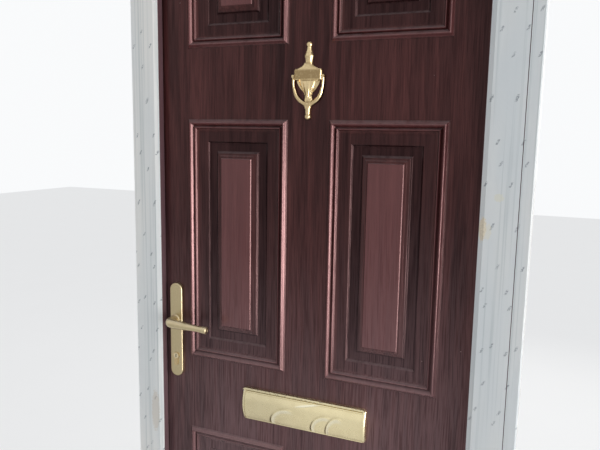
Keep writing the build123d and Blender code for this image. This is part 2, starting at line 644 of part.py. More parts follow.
def make_gearbox_case():
    """Main lock case, with its journal holes and the hole for the cylinder."""
    case = case_shell(CASE_DEPTH, CASE_BOTTOM, CASE_TOP)
    y0, y1 = LEAF_MIDDLE - CASE_THICKNESS, LEAF_MIDDLE + CASE_THICKNESS
    case -= rod_y(FOLLOWER_HUB_RADIUS + RUNNING_FIT, y0, y1, SPINDLE_X, SPINDLE_HEIGHT)
    return case - across_y(euro_profile(SIDE_GAP), y0, y1)


def make_hook_case(height):
    """Case of one hook, with the rivet that the hook turns on."""
    half = CASE_THICKNESS / 2
    case = case_shell(HOOK_CASE_DEPTH, *hook_case_span(height))
    return case + rod_y(HOOK_PIN_RADIUS, LEAF_MIDDLE - half, LEAF_MIDDLE + half, HOOK_X, height)


def make_hook(height):
    """Swinging hook, drawn back: its arm points up and its beak points into the leaf."""
    half_arm = HOOK_ARM_WIDTH / 2
    eye = Circle(HOOK_EYE_RADIUS)
    arm = Pos(0, HOOK_ARM / 2) * Rectangle(HOOK_ARM_WIDTH, HOOK_ARM)
    tip = HOOK_ARM_WIDTH - 1
    beak = polygon([(half_arm, HOOK_ARM), (tip, HOOK_ARM - 1), (tip, HOOK_ARM - 6), (half_arm, HOOK_ARM - 11)])
    outline = eye + arm + beak - Circle(HOOK_PIN_RADIUS + RUNNING_FIT)
    half = HOOK_THICKNESS / 2
    return Pos(HOOK_X, 0, height) * across_y(outline, LEAF_MIDDLE - half, LEAF_MIDDLE + half)


def make_latch():
    """Bevelled latch bolt, drawn back flush with the faceplate."""
    half = BOLT_THICKNESS / 2
    y0, y1 = LEAF_MIDDLE - half, LEAF_MIDDLE + half
    outline = polygon([(LOCK_EDGE, y1), (LOCK_EDGE + LATCH_LENGTH, y1), (LOCK_EDGE + LATCH_LENGTH, y0),
                       (LOCK_EDGE + LATCH_THROW, y0), (LOCK_EDGE, y1 - 3)])
    head = Pos(0, 0, LATCH_Z - LATCH_HEIGHT / 2) * extrude(outline, LATCH_HEIGHT)
    neck = block(LOCK_EDGE + LATCH_THROW + 8, LOCK_EDGE + LATCH_LENGTH, y0, y1,
                 LATCH_Z + 3, LATCH_Z + LATCH_HEIGHT)
    return head - neck


def make_deadbolt():
    """Square deadbolt with a notch in its underside."""
    half = BOLT_THICKNESS / 2
    low, high = DEADBOLT_Z - DEADBOLT_HEIGHT / 2, DEADBOLT_Z + DEADBOLT_HEIGHT / 2
    bolt = block(LOCK_EDGE, LOCK_EDGE + DEADBOLT_LENGTH, LEAF_MIDDLE - half, LEAF_MIDDLE + half, low, high)
    bolt = chamfer(bolt.edges().filter_by(Axis.Z).group_by(Axis.X)[0], 1.0)
    notch = block(LOCK_EDGE + DEADBOLT_LENGTH - 16, LOCK_EDGE + DEADBOLT_LENGTH - 6, LEAF_MIDDLE - half,
                  LEAF_MIDDLE + half, low, low + 6)
    return bolt - notch


def make_cylinder():
    """Profile cylinder's body: two halves joined by a bridge under the cam."""
    y0 = LEAF_FRONT - PLATE_THICKNESS - CYLINDER_STAND_OUT
    y1 = LEAF_BACK + PLATE_THICKNESS + CYLINDER_STAND_OUT
    body = across_y(euro_profile(0), y0, y1) - rod_y(PLUG_RADIUS + RUNNING_FIT, y0, y1, SPINDLE_X, CYLINDER_Z)
    bottom = CYLINDER_Z + CYLINDER_RADIUS - CYLINDER_HEIGHT
    half = CAM_GAP / 2
    body -= block(SPINDLE_X - 20, SPINDLE_X + 20, LEAF_MIDDLE - half, LEAF_MIDDLE + half,
                  bottom + CYLINDER_BRIDGE, CYLINDER_Z + 20)
    return body - rod_x(2.4 + RUNNING_FIT, LOCK_EDGE, LOCK_EDGE + BACKSET + 2.0, LEAF_MIDDLE, lobe_middle())


def make_plug():
    """Cylinder plugs with their keyways, and the cam between them."""
    y0 = LEAF_FRONT - PLATE_THICKNESS - CYLINDER_STAND_OUT
    y1 = LEAF_BACK + PLATE_THICKNESS + CYLINDER_STAND_OUT
    plug = rod_y(PLUG_RADIUS, y0, y1, SPINDLE_X, CYLINDER_Z)
    half = CAM_WIDTH / 2
    plug += rod_y(CYLINDER_RADIUS - SIDE_GAP, LEAF_MIDDLE - half, LEAF_MIDDLE + half, SPINDLE_X, CYLINDER_Z)
    tooth = Pos(0, -CAM_RADIUS / 2) * Rectangle(7, CAM_RADIUS) & Circle(CAM_RADIUS)
    plug += Pos(SPINDLE_X, 0, CYLINDER_Z) * across_y(tooth, LEAF_MIDDLE - half, LEAF_MIDDLE + half)
    for start, end in ((y0, y0 + 9), (y1, y1 - 9)):
        plug -= block(SPINDLE_X - 0.8, SPINDLE_X + 0.8, start, end, CYLINDER_Z - 4.6, CYLINDER_Z + 3.4)
    return plug


def make_follower():
    """Hub that the spindle turns in the lock case, with its arm."""
    half = CASE_THICKNESS / 2
    inner = half - CASE_WALL - SIDE_GAP
    hub = rod_y(FOLLOWER_HUB_RADIUS, LEAF_MIDDLE - half, LEAF_MIDDLE + half, SPINDLE_X, SPINDLE_HEIGHT)
    hub += rod_y(FOLLOWER_RADIUS, LEAF_MIDDLE - inner, LEAF_MIDDLE + inner, SPINDLE_X, SPINDLE_HEIGHT)
    arm = polygon([(4, -6), (12, -3), (10, -22), (5, -22)])
    hub += Pos(SPINDLE_X, 0, SPINDLE_HEIGHT) * across_y(arm, LEAF_MIDDLE - 3, LEAF_MIDDLE + 3)
    reach = SPINDLE_SIZE / 2 + RUNNING_FIT
    return hub - block(SPINDLE_X - reach, SPINDLE_X + reach, LEAF_MIDDLE - half, LEAF_MIDDLE + half,
                       SPINDLE_HEIGHT - reach, SPINDLE_HEIGHT + reach)


# Lever handles


def plate_bolt_heights():
    """Heights of the two bolts that hold the backplates together."""
    reach = PLATE_LENGTH / 2 - PLATE_BOLT_MARGIN
    return PLATE_CENTRE_Z - reach, PLATE_CENTRE_Z + reach


def across_leaf(shape):
    """The matching shape on the other face of the leaf."""
    return mirror(shape, about=Plane.XZ.offset(-LEAF_MIDDLE))


def make_backplate():
    """Outside backplate: a long round-ended plate with eased edges."""
    front = LEAF_FRONT - PLATE_THICKNESS
    outline = Pos(SPINDLE_X, PLATE_CENTRE_Z) * Rot(0, 0, 90) * SlotOverall(PLATE_LENGTH, PLATE_WIDTH)
    plate = across_y(outline, front, LEAF_FRONT)
    plate = fillet(plate.faces().sort_by(Axis.Y)[0].edges(), PLATE_EDGE_RADIUS)
    plate -= rod_y(LEVER_JOURNAL_RADIUS + RUNNING_FIT, front, LEAF_FRONT, SPINDLE_X, SPINDLE_HEIGHT)
    pocket = LEAF_FRONT - SPRING_POCKET_DEPTH
    plate -= rod_y(SPRING_POCKET_RADIUS, pocket, LEAF_FRONT, SPINDLE_X, SPINDLE_HEIGHT)
    plate -= across_y(euro_profile(SIDE_GAP), front, LEAF_FRONT)
    bolt_end = LEAF_FRONT - PLATE_THICKNESS * 0.6
    for z in plate_bolt_heights():
        plate -= rod_y(PLATE_BOLT_RADIUS + RUNNING_FIT, bolt_end, LEAF_FRONT, SPINDLE_X, z)
    return plate


def make_inner_backplate(outer_plate):
    """Inside backplate, which the bolts pass right through."""
    plate = across_leaf(outer_plate)
    for z in plate_bolt_heights():
        plate -= rod_y(PLATE_BOLT_RADIUS + RUNNING_FIT, LEAF_BACK, LEAF_BACK + PLATE_THICKNESS, SPINDLE_X, z)
    return plate


def make_plate_bolts():
    """Two long bolts with pan heads on the inside."""
    bolts = []
    head = LEAF_BACK + PLATE_THICKNESS
    for z in plate_bolt_heights():
        shank = rod_y(PLATE_BOLT_RADIUS, LEAF_FRONT - PLATE_THICKNESS * 0.6, head, SPINDLE_X, z)
        bolts.append(shank + rod_y(PLATE_BOLT_RADIUS + 1.8, head, head + 2.2, SPINDLE_X, z))
    return bolts


def make_lever():
    """Outside lever: journal, collar and neck, then a round bar that sinks to a waisted, dished tip."""
    plate_front = LEAF_FRONT - PLATE_THICKNESS
    bar_y = LEAF_FRONT - LEVER_STAND_OUT
    bend_start = bar_y + LEVER_BEND_RADIUS
    bar_start = SPINDLE_X + LEVER_BEND_RADIUS
    tip = SPINDLE_X + LEVER_LENGTH
    seat = plate_front - SIDE_GAP
    lever = rod_y(LEVER_JOURNAL_RADIUS, LEAF_FRONT - SPRING_POCKET_DEPTH, seat, SPINDLE_X, SPINDLE_HEIGHT)
    neck_outline = make_face(Polyline((0, 0), (LEVER_COLLAR_RADIUS, 0), (LEVER_COLLAR_RADIUS, 2.0),
                                      (LEVER_NECK_RADIUS - 0.8, 4.0), (LEVER_NECK_RADIUS, seat - bend_start),
                                      (0, seat - bend_start), close=True))
    neck = revolve(Plane.XZ * neck_outline, Axis.Z)
    lever += Pos(SPINDLE_X, seat, SPINDLE_HEIGHT) * Rot(90, 0, 0) * neck
    bend_plane = Plane(origin=(SPINDLE_X, bend_start, SPINDLE_HEIGHT), x_dir=(1, 0, 0), z_dir=(0, -1, 0))
    bend_axis = Axis((bar_start, bend_start, SPINDLE_HEIGHT), (0, 0, 1))
    grip = revolve(bend_plane * Circle(LEVER_NECK_RADIUS), bend_axis, 90)
    length = tip - bar_start
    tip_radius = LEVER_TIP_RADIUS
    edge = LEVER_TIP_ROUND
    corner = edge * (1 - math.sqrt(0.5))
    bar_outline = make_face([
        Line((0, 0), (0, LEVER_NECK_RADIUS)),
        Spline([(0, LEVER_NECK_RADIUS), (length * 0.45, LEVER_BAR_RADIUS),
                (length - LEVER_WAIST_INSET, LEVER_WAIST_RADIUS), (length - edge, tip_radius)],
               tangents=[(1, 0), (1, 0)]),
        ThreePointArc((length - edge, tip_radius), (length - corner, tip_radius - corner),
                      (length, tip_radius - edge)),
        Polyline((length, tip_radius - edge), (length, LEVER_DISH_RADIUS), (length - LEVER_DISH_DEPTH, 0),
                 (0, 0)),
    ])
    grip += Pos(bar_start, bar_y, SPINDLE_HEIGHT) * revolve(bar_outline, Axis.X)
    lever += grip.rotate(Axis((SPINDLE_X, 0, SPINDLE_HEIGHT), (0, 1, 0)), LEVER_DROOP)
    reach = SPINDLE_SIZE / 2 + RUNNING_FIT
    return lever - block(SPINDLE_X - reach, SPINDLE_X + reach, bend_start - 6, LEAF_FRONT,
                         SPINDLE_HEIGHT - reach, SPINDLE_HEIGHT + reach)


def make_spindle():
    """Square spindle from one lever's neck to the other's."""
    reach = SPINDLE_SIZE / 2
    y0 = LEAF_FRONT - LEVER_STAND_OUT + LEVER_BEND_RADIUS - 5
    y1 = 2 * LEAF_MIDDLE - y0
    return block(SPINDLE_X - reach, SPINDLE_X + reach, y0, y1, SPINDLE_HEIGHT - reach, SPINDLE_HEIGHT + reach)


def make_lever_spring():
    """Flat return spring in the pocket behind the outside backplate, with its two tails."""
    y0, y1 = LEAF_FRONT - SPRING_POCKET_DEPTH + SIDE_GAP, LEAF_FRONT - SIDE_GAP
    ring = Circle(SPRING_POCKET_RADIUS - SIDE_GAP) - Circle(SPRING_POCKET_RADIUS - 3)
    gap = Pos(0, SPRING_POCKET_RADIUS) * Rectangle(6, 12)
    spring = across_y(ring - gap, y0, y1)
    return Pos(SPINDLE_X, 0, SPINDLE_HEIGHT) * spring


# Letter plate


def bulge_radius():
    """Radius of the curve across the letter plate's cheeks."""
    half = LETTER_PLATE_HEIGHT / 2
    return (half ** 2 + LETTER_BULGE ** 2) / (2 * LETTER_BULGE)


def bulge_outline(radius):
    """Outline in (Y, Z) of everything inside the plate's curve, at this radius."""
    base_front = LEAF_FRONT - LETTER_BASE
    centre_y = base_front - LETTER_BULGE + bulge_radius()
    half = LETTER_PLATE_HEIGHT / 2
    window = Pos(base_front - LETTER_BULGE / 2, LETTER_HEIGHT) * Rectangle(LETTER_BULGE, 2 * half)
    return Pos(centre_y, LETTER_HEIGHT) * Circle(radius) & window


def make_letter_plate():
    """Outside letter plate: base with its slot, curved cheeks and a lip over the flap."""
    half_w, half_h = LETTER_PLATE_WIDTH / 2, LETTER_PLATE_HEIGHT / 2
    front = LEAF_FRONT - LETTER_BASE
    low, high = LETTER_HEIGHT - half_h, LETTER_HEIGHT + half_h
    plate = block(-half_w, half_w, front, LEAF_FRONT, low, high)
    plate -= block(-LETTER_SLOT_WIDTH / 2, LETTER_SLOT_WIDTH / 2, front, LEAF_FRONT,
                   LETTER_HEIGHT - LETTER_SLOT_HEIGHT / 2, LETTER_HEIGHT + LETTER_SLOT_HEIGHT / 2)
    cheek = across_x(bulge_outline(bulge_radius()), half_w - LETTER_CHEEK, half_w)
    lip_outline = polygon([
        (front, high), (front - LETTER_LIP_STAND_OUT + 1.5, high), (front - LETTER_LIP_STAND_OUT, high - 1.5),
        (front - LETTER_LIP_STAND_OUT, high - LETTER_LIP), (front, high - LETTER_LIP),
    ])
    plate += cheek + mirror(cheek, about=Plane.YZ) + across_x(lip_outline, -half_w, half_w)
    plate -= rod_x(FLAP_PIN_RADIUS + RUNNING_FIT, -half_w + 1.5, half_w - 1.5, FLAP_PIN_Y, FLAP_PIN_Z)
    for x in (-LETTER_BOLT_SPACING / 2, LETTER_BOLT_SPACING / 2):
        plate -= rod_y(LETTER_BOLT_RADIUS + RUNNING_FIT, front + 1, LEAF_FRONT, x, LETTER_HEIGHT)
    return plate


def make_outer_flap():
    """Curved outside flap with its rolled top edge."""
    half = LETTER_PLATE_WIDTH / 2 - LETTER_CHEEK - SIDE_GAP
    radius = bulge_radius() - 0.8
    sheet = bulge_outline(radius) - bulge_outline(radius - FLAP_THICKNESS)
    front = LEAF_FRONT - LETTER_BASE
    sheet &= Pos(front - LETTER_BULGE / 2 - SIDE_GAP, FLAP_PIN_Z - LETTER_PLATE_HEIGHT / 2) * Rectangle(
        LETTER_BULGE, LETTER_PLATE_HEIGHT)
    flap = across_x(sheet, -half, half)
    curl = rod_x(FLAP_CURL_RADIUS, -half, half, FLAP_PIN_Y, FLAP_PIN_Z)
    return flap + curl - curl_bore(half, FLAP_PIN_Y, FLAP_PIN_Z)


def curl_bore(half, y, z):
    """Bore of a flap's rolled edge, wider in the middle where its spring is."""
    room = FLAP_SPRING_LENGTH / 2 + SIDE_GAP
    bore = rod_x(FLAP_PIN_RADIUS + RUNNING_FIT, -half, half, y, z)
    return bore + rod_x(FLAP_SPRING_RADIUS + 0.1, -room, room, y, z)


def make_flap_spring(y, z):
    """Closed-wound spring round a flap's pin, drawn as its outer shape."""
    half = FLAP_SPRING_LENGTH / 2
    return rod_x(FLAP_SPRING_RADIUS, -half, half, y, z) - rod_x(FLAP_PIN_RADIUS + 0.2, -half, half, y, z)


def make_inner_letter_frame():
    """Inside frame of the letter plate, with an ear at each end of the flap."""
    half_w, half_h = LETTER_PLATE_WIDTH / 2, LETTER_PLATE_HEIGHT / 2
    back = LEAF_BACK + LETTER_BASE
    plate = block(-half_w, half_w, LEAF_BACK, back, LETTER_HEIGHT - half_h, LETTER_HEIGHT + half_h)
    plate = chamfer(plate.faces().sort_by(Axis.Y)[-1].edges(), 1.0)
    plate -= block(-LETTER_SLOT_WIDTH / 2, LETTER_SLOT_WIDTH / 2, LEAF_BACK, back,
                   LETTER_HEIGHT - LETTER_SLOT_HEIGHT / 2, LETTER_HEIGHT + LETTER_SLOT_HEIGHT / 2)
    start = LETTER_SLOT_WIDTH / 2 + INNER_FLAP_MARGIN + SIDE_GAP
    for x0, x1 in ((start, start + 3.5), (-start - 3.5, -start)):
        plate += block(x0, x1, back, INNER_PIN_Y + 2.4, INNER_PIN_Z - 4, INNER_PIN_Z + 4)
    reach = start + 3.5
    plate -= rod_x(FLAP_PIN_RADIUS + RUNNING_FIT, -reach, reach, INNER_PIN_Y, INNER_PIN_Z)
    for x in (-LETTER_BOLT_SPACING / 2, LETTER_BOLT_SPACING / 2):
        plate -= rod_y(LETTER_BOLT_RADIUS + RUNNING_FIT, LEAF_BACK, back, x, LETTER_HEIGHT)
    return plate


def make_inner_flap():
    """Flat inside flap with its rolled top edge."""
    half = LETTER_SLOT_WIDTH / 2 + INNER_FLAP_MARGIN
    y0 = LEAF_BACK + LETTER_BASE + SIDE_GAP
    flap = block(-half, half, y0, y0 + FLAP_THICKNESS, INNER_PIN_Z - INNER_FLAP_HEIGHT, INNER_PIN_Z)
    flap += rod_x(FLAP_CURL_RADIUS, -half, half, INNER_PIN_Y, INNER_PIN_Z)
    return flap - curl_bore(half, INNER_PIN_Y, INNER_PIN_Z)


def make_sleeve():
    """Liner of the letter slot, from the outside plate to the inside frame."""
    half_w, half_h = LETTER_SLOT_WIDTH / 2, LETTER_SLOT_HEIGHT / 2
    outer = block(-half_w - SLEEVE_WALL, half_w + SLEEVE_WALL, LEAF_FRONT, LEAF_BACK,
                  LETTER_HEIGHT - half_h - SLEEVE_WALL, LETTER_HEIGHT + half_h + SLEEVE_WALL)
    return outer - block(-half_w, half_w, LEAF_FRONT, LEAF_BACK, LETTER_HEIGHT - half_h, LETTER_HEIGHT + half_h)


def make_letter_bolts():
    """Bolts that draw the two halves of the letter plate together."""
    bolts = []
    front, back = LEAF_FRONT - LETTER_BASE + 1, LEAF_BACK + LETTER_BASE
    for x in (-LETTER_BOLT_SPACING / 2, LETTER_BOLT_SPACING / 2):
        shank = rod_y(LETTER_BOLT_RADIUS, front, back, x, LETTER_HEIGHT)
        bolts.append(shank + rod_y(LETTER_BOLT_RADIUS + 1.5, back, back + 1.8, x, LETTER_HEIGHT))
    return bolts


# Urn knocker


def half_oval(half_width, depth, drop):
    """Half ellipse standing on the leaf's face, at a drop below the finial's top."""
    oval = Ellipse(half_width, depth) & Pos(0, -depth) * Rectangle(3 * half_width, 2 * depth)
    return Plane(origin=(0, LEAF_FRONT, KNOCKER_TOP - drop)) * oval


def below_top(points):
    """Points given as half width and drop, as places below the finial's top."""
    return [(half, -drop) for half, drop in points]


def make_shoulder():
    """Concave shoulder from the finial's neck out to the block's top corner, and that corner."""
    corner = (KNOCKER_BLOCK_HALF, -KNOCKER_BLOCK_TOP - 1.6)
    points = below_top((KNOCKER_NECK,) + KNOCKER_SHOULDER) + [corner]
    return Spline(points, tangents=[(0, -1), (0.4, -1)]), corner


def make_rim():
    """Flat rim that shows beside the bowl, from the block down to its stem."""
    points = below_top(KNOCKER_RIM)
    bottom = points[-1][1]
    rim = make_face([
        Spline(points, tangents=[(0, -1), (0, -1)]), Line(points[-1], (0, bottom)),
        Line((0, bottom), (0, points[0][1])), Line((0, points[0][1]), points[0]),
    ])
    return across_y(rim + mirror(rim, about=Plane.YZ), LEAF_FRONT - KNOCKER_RIM_THICKNESS, LEAF_FRONT)


def make_knocker_plate():
    """Urn-shaped backplate: finial, shouldered block, bowl, foot and the pad that the striker meets."""
    ball = KNOCKER_BALL_RADIUS
    ball_end = (0.73 * ball, -1.7 * ball)
    neck = (KNOCKER_NECK[0], -KNOCKER_NECK[1])
    finial_outline = make_face([
        ThreePointArc((0, 0), (ball, -ball), ball_end),
        Polyline(ball_end, *below_top(KNOCKER_FINIAL), (0, neck[1]), (0, 0)),
    ])
    finial = Pos(0, LEAF_FRONT, KNOCKER_TOP) * revolve(Plane.XZ * finial_outline, Axis.Z)
    finial &= block(-KNOCKER_BLOCK_HALF, KNOCKER_BLOCK_HALF, LEAF_FRONT - KNOCKER_BLOCK_HALF, LEAF_FRONT,
                    KNOCKER_TOP - KNOCKER_BLOCK_TOP, KNOCKER_TOP)
    bowl = loft([half_oval(*oval) for oval in KNOCKER_BOWL] + [half_oval(*KNOCKER_BOWL_FOOT, KNOCKER_FOOT)])
    half = KNOCKER_BLOCK_HALF
    shoulder, block_top = make_shoulder()
    shield = make_face([
        shoulder, Line(block_top, (half, -KNOCKER_BLOCK_BOTTOM)),
        Line((half, -KNOCKER_BLOCK_BOTTOM), (0, -KNOCKER_BLOCK_BOTTOM)),
        Line((0, -KNOCKER_BLOCK_BOTTOM), (0, neck[1])), Line((0, neck[1]), neck),
    ])
    shield += mirror(shield, about=Plane.YZ)
    body = Pos(0, 0, KNOCKER_TOP) * across_y(shield, LEAF_FRONT - KNOCKER_BLOCK_DEPTH, LEAF_FRONT)
    body = chamfer(body.faces().sort_by(Axis.Y)[0].edges(), 1.8)
    foot = KNOCKER_TOP - KNOCKER_FOOT
    pad = block(-KNOCKER_PAD_HALF, KNOCKER_PAD_HALF, LEAF_FRONT - KNOCKER_PAD_THICKNESS, LEAF_FRONT,
                foot - KNOCKER_PAD_DROP, foot)
    plate = body + finial + bowl + Pos(0, 0, KNOCKER_TOP) * make_rim() + pad
    plate -= rod_x(KNOCKER_PIN_RADIUS + RUNNING_FIT, -half, half, KNOCKER_PIVOT_Y, KNOCKER_PIVOT_Z)
    return plate - rod_y(KNOCKER_BOLT_RADIUS + RUNNING_FIT, LEAF_FRONT - 3, LEAF_FRONT, 0, KNOCKER_BOLT_Z)


def make_striker():
    """Loop that hangs from the block's ends and meets in a small finial."""
    inner_x = KNOCKER_BLOCK_HALF + STRIKER_GAP
    outer_x = inner_x + STRIKER_WIDTH
    eye_x = (inner_x + outer_x) / 2
    y = KNOCKER_PIVOT_Y
    half = STRIKER_DEPTH / 2
    straight = KNOCKER_BLOCK_BOTTOM + 1.6
    fork = KNOCKER_FOOT + 16.0

    def along(share, width):
        return outer_x - width, -straight - share * (fork - straight)

    outer = [(outer_x, -straight), along(0.29, 1.8), along(0.54, 5.8), along(0.74, 14.4), along(0.87, 25.6),
             (6.2, -fork)]
    crotch = (0, -KNOCKER_FOOT - 1.6)
    inner = [(inner_x, -straight), along(0.26, 6.8), along(0.47, 11.2), along(0.64, 18.4), along(0.745, 27.2),
             crotch]
    outline = make_face([
        Line((outer_x, -KNOCKER_PIVOT_DROP), outer[0]), Spline(outer, tangents=[(0, -1), (0, -1)]),
        Line(outer[-1], (0, -fork)), Line((0, -fork), crotch),
        Spline(inner[::-1], tangents=[(1, 0), (0, 1)]),
        Line(inner[0], (inner_x, -KNOCKER_PIVOT_DROP)),
        Line((inner_x, -KNOCKER_PIVOT_DROP), (outer_x, -KNOCKER_PIVOT_DROP)),
    ])
    side = Pos(0, 0, KNOCKER_TOP) * across_y(outline, y - half, y + half)
    side = chamfer(side.faces().sort_by(Axis.Y)[0].edges().filter_by(lambda e: abs(e.center().X) > 3), 1.5)
    side += rod_x(KNOCKER_EYE_RADIUS, -outer_x, -inner_x, y, KNOCKER_PIVOT_Z)
    ball = STRIKER_BALL_RADIUS
    stem_y = LEAF_FRONT - STRIKER_BALL_STAND_OUT
    ball_drop = STRIKER_LENGTH - ball
    stem_top = KNOCKER_TOP - KNOCKER_FOOT - 12.0
    stem_bottom = KNOCKER_TOP - ball_drop
    stem = Pos(0, stem_y, (stem_top + stem_bottom) / 2) * Cone(4.4, 6.0, stem_top - stem_bottom)
    stem += Pos(0, stem_y, stem_bottom) * Sphere(ball)
    stem &= block(-ball, ball, stem_y - ball, LEAF_FRONT - SIDE_GAP, stem_bottom - ball, stem_top)
    striker = side + mirror(side, about=Plane.YZ) + stem
    return striker - rod_x(KNOCKER_PIN_RADIUS + RUNNING_FIT, -outer_x, outer_x, y, KNOCKER_PIVOT_Z)


def make_knocker_pin():
    """Pin through the block and both eyes."""
    reach = KNOCKER_BLOCK_HALF + STRIKER_GAP + STRIKER_WIDTH + 0.6
    return rod_x(KNOCKER_PIN_RADIUS, -reach, reach, KNOCKER_PIVOT_Y, KNOCKER_PIVOT_Z)


def make_knocker_bolt():
    """Stud through the leaf with a domed nut on the inside."""
    z = KNOCKER_BOLT_Z
    bolt = rod_y(KNOCKER_BOLT_RADIUS, LEAF_FRONT - 3, LEAF_BACK, 0, z)
    nut = rod_y(8.0, LEAF_BACK, LEAF_BACK + 2.0, 0, z)
    dome = Pos(0, LEAF_BACK + 2.0, z) * Sphere(5.5)
    return bolt + nut + (dome & block(-10, 10, LEAF_BACK + 1.0, LEAF_BACK + 12, z - 10, z + 10))


# Hinges


def hinge_leaf(frame_side, height):
    """One leaf of a flag hinge: the frame's carries the lower knuckle, the door's the upper one."""
    low = height - HINGE_LENGTH / 2
    high = height + HINGE_LENGTH / 2
    y0, y1 = LEAF_BACK, LEAF_BACK + HINGE_LEAF_THICKNESS
    reach = HINGE_KNUCKLE_RADIUS
    if frame_side:
        plate = block(HINGE_X + reach + 1, HINGE_X + reach + 1 + HINGE_FRAME_LEAF_WIDTH, y0, y1, low, high)
        web = [(0, reach), (reach + 1, y1 - HINGE_Y), (reach + 1, y0 - HINGE_Y), (0, -reach)]
        span = (low, height - SIDE_GAP / 2)
    else:
        plate = block(HALF_LEAF - 2 - HINGE_LEAF_WIDTH, HALF_LEAF - 2, y0, y1, low, high)
        edge = HALF_LEAF - 2 - HINGE_X
        web = [(0, reach), (0, -reach), (edge, y0 - HINGE_Y), (edge - 14, y1 - HINGE_Y)]
        span = (height + SIDE_GAP / 2, high)
    tall = span[1] - span[0]
    knuckle = extrude(Circle(reach), tall) + extrude(polygon(web), tall)
    leaf = plate + Pos(HINGE_X, HINGE_Y, span[0]) * knuckle
    leaf -= rod_z(HINGE_PIN_RADIUS + RUNNING_FIT, low, high, HINGE_X, HINGE_Y)
    for x, z in hinge_screw_places(frame_side):
        if low < z < high:
            leaf -= rod_y(HINGE_SCREW_RADIUS + RUNNING_FIT, y0, y1, x, z)
    return leaf


def make_hinge_pins():
    """Pins with a button head on top, one for each hinge."""
    pins = []
    for height in HINGE_HEIGHTS:
        low, high = height - HINGE_LENGTH / 2, height + HINGE_LENGTH / 2
        pin = rod_z(HINGE_PIN_RADIUS, low, high + SIDE_GAP, HINGE_X, HINGE_Y)
        pins.append(pin + rod_z(HINGE_KNUCKLE_RADIUS - 1, high + SIDE_GAP, high + 3, HINGE_X, HINGE_Y))
    return pins


def make_hinge_screws(frame_side):
    """Pan-headed hinge screws on one side."""
    y = LEAF_BACK + HINGE_LEAF_THICKNESS
    length = HINGE_FRAME_SCREW_LENGTH if frame_side else HINGE_SCREW_LENGTH
    screws = []
    for x, z in hinge_screw_places(frame_side):
        shank = rod_y(HINGE_SCREW_RADIUS, LEAF_BACK - length, y, x, z)
        screws.append(shank + rod_y(HINGE_SCREW_RADIUS + 1.8, y, y + 1.8, x, z))
    return screws


def save(name, *shapes):
    """Write one node as a STEP file."""
    solids = [solid for shape in shapes for solid in shape.solids()]
    whole = solids[0] if len(solids) == 1 else Compound(children=solids)
    export_step(whole, f"parts/{name}.step")


def main():
    """Make every node and write it."""
    for name, member in zip(("frame_lock_jamb", "frame_hinge_jamb", "frame_sill", "frame_head"), make_frame()):
        save(name, member)
    save("frame_reinforcement", *make_reinforcement())
    save("frame_seal", make_seal())
    save("jamb_extension", make_extension())
    save("protective_film", *make_film())
    for name, keep in zip(("centre_keep", "upper_keep", "lower_keep"), make_keeps()):
        save(name, keep)
    save("keep_screws", *[keep_screw(height, 0) for height in keep_screw_places()])

    names = ("leaf_outer_skin", "leaf_inner_skin", "leaf_core", "lock_stile", "hinge_stile", "top_rail",
             "bottom_rail")
    for name, shape in zip(names, make_leaf()):
        save(name, shape)

    save("lock_faceplate", make_faceplate())
    save("lock_screws", *lock_screws(0))
    save("gearbox_case", make_gearbox_case())
    for name, height in zip(("upper", "lower"), HOOK_HEIGHTS):
        save(f"{name}_hook_case", make_hook_case(height))
        save(f"{name}_hook", make_hook(height))
    save("latch_bolt", make_latch())
    save("deadbolt", make_deadbolt())
    save("cylinder_body", make_cylinder())
    save("cylinder_plug", make_plug())
    save("follower", make_follower())

    outer_plate = make_backplate()
    save("outer_backplate", outer_plate)
    save("inner_backplate", make_inner_backplate(outer_plate))
    save("backplate_bolts", *make_plate_bolts())
    lever = make_lever()
    save("outer_lever", lever)
    save("inner_lever", across_leaf(lever))
    save("spindle", make_spindle())
    spring = make_lever_spring()
    save("lever_springs", spring, across_leaf(spring))

    save("letter_plate", make_letter_plate())
    save("outer_flap", make_outer_flap())
    save("letter_inner_frame", make_inner_letter_frame())
    save("inner_flap", make_inner_flap())
    save("letter_sleeve", make_sleeve())
    save("letter_bolts", *make_letter_bolts())
    pin_reach = LETTER_PLATE_WIDTH / 2 - 1.5
    save("outer_flap_pin", rod_x(FLAP_PIN_RADIUS, -pin_reach, pin_reach, FLAP_PIN_Y, FLAP_PIN_Z))
    inner_reach = LETTER_SLOT_WIDTH / 2 + INNER_FLAP_MARGIN + SIDE_GAP + 3.5
    save("inner_flap_pin", rod_x(FLAP_PIN_RADIUS, -inner_reach, inner_reach, INNER_PIN_Y, INNER_PIN_Z))
    save("flap_springs", make_flap_spring(FLAP_PIN_Y, FLAP_PIN_Z), make_flap_spring(INNER_PIN_Y, INNER_PIN_Z))

    save("knocker_plate", make_knocker_plate())
    save("knocker_striker", make_striker())
    save("knocker_pin", make_knocker_pin())
    save("knocker_bolt", make_knocker_bolt())

    for name, height in zip(("bottom", "middle", "top"), HINGE_HEIGHTS):
        save(f"{name}_hinge_frame_leaf", hinge_leaf(True, height))
        save(f"{name}_hinge_door_leaf", hinge_leaf(False, height))
    save("hinge_pins", *make_hinge_pins())
    save("hinge_frame_screws", *make_hinge_screws(True))
    save("hinge_door_screws", *make_hinge_screws(False))


main()
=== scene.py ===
"""Finishes and fine forms of a six-panel entrance door in its frame, with its studio and camera.

Lengths are in metres, seen from outside: X to the right, Y into the house, Z up.
"""

import json
import logging
import math
from contextlib import contextmanager
from dataclasses import dataclass, replace
from enum import Enum
from typing import Callable, Iterator, NamedTuple, Sequence

import bmesh
import bpy
from mathutils import Matrix, Vector


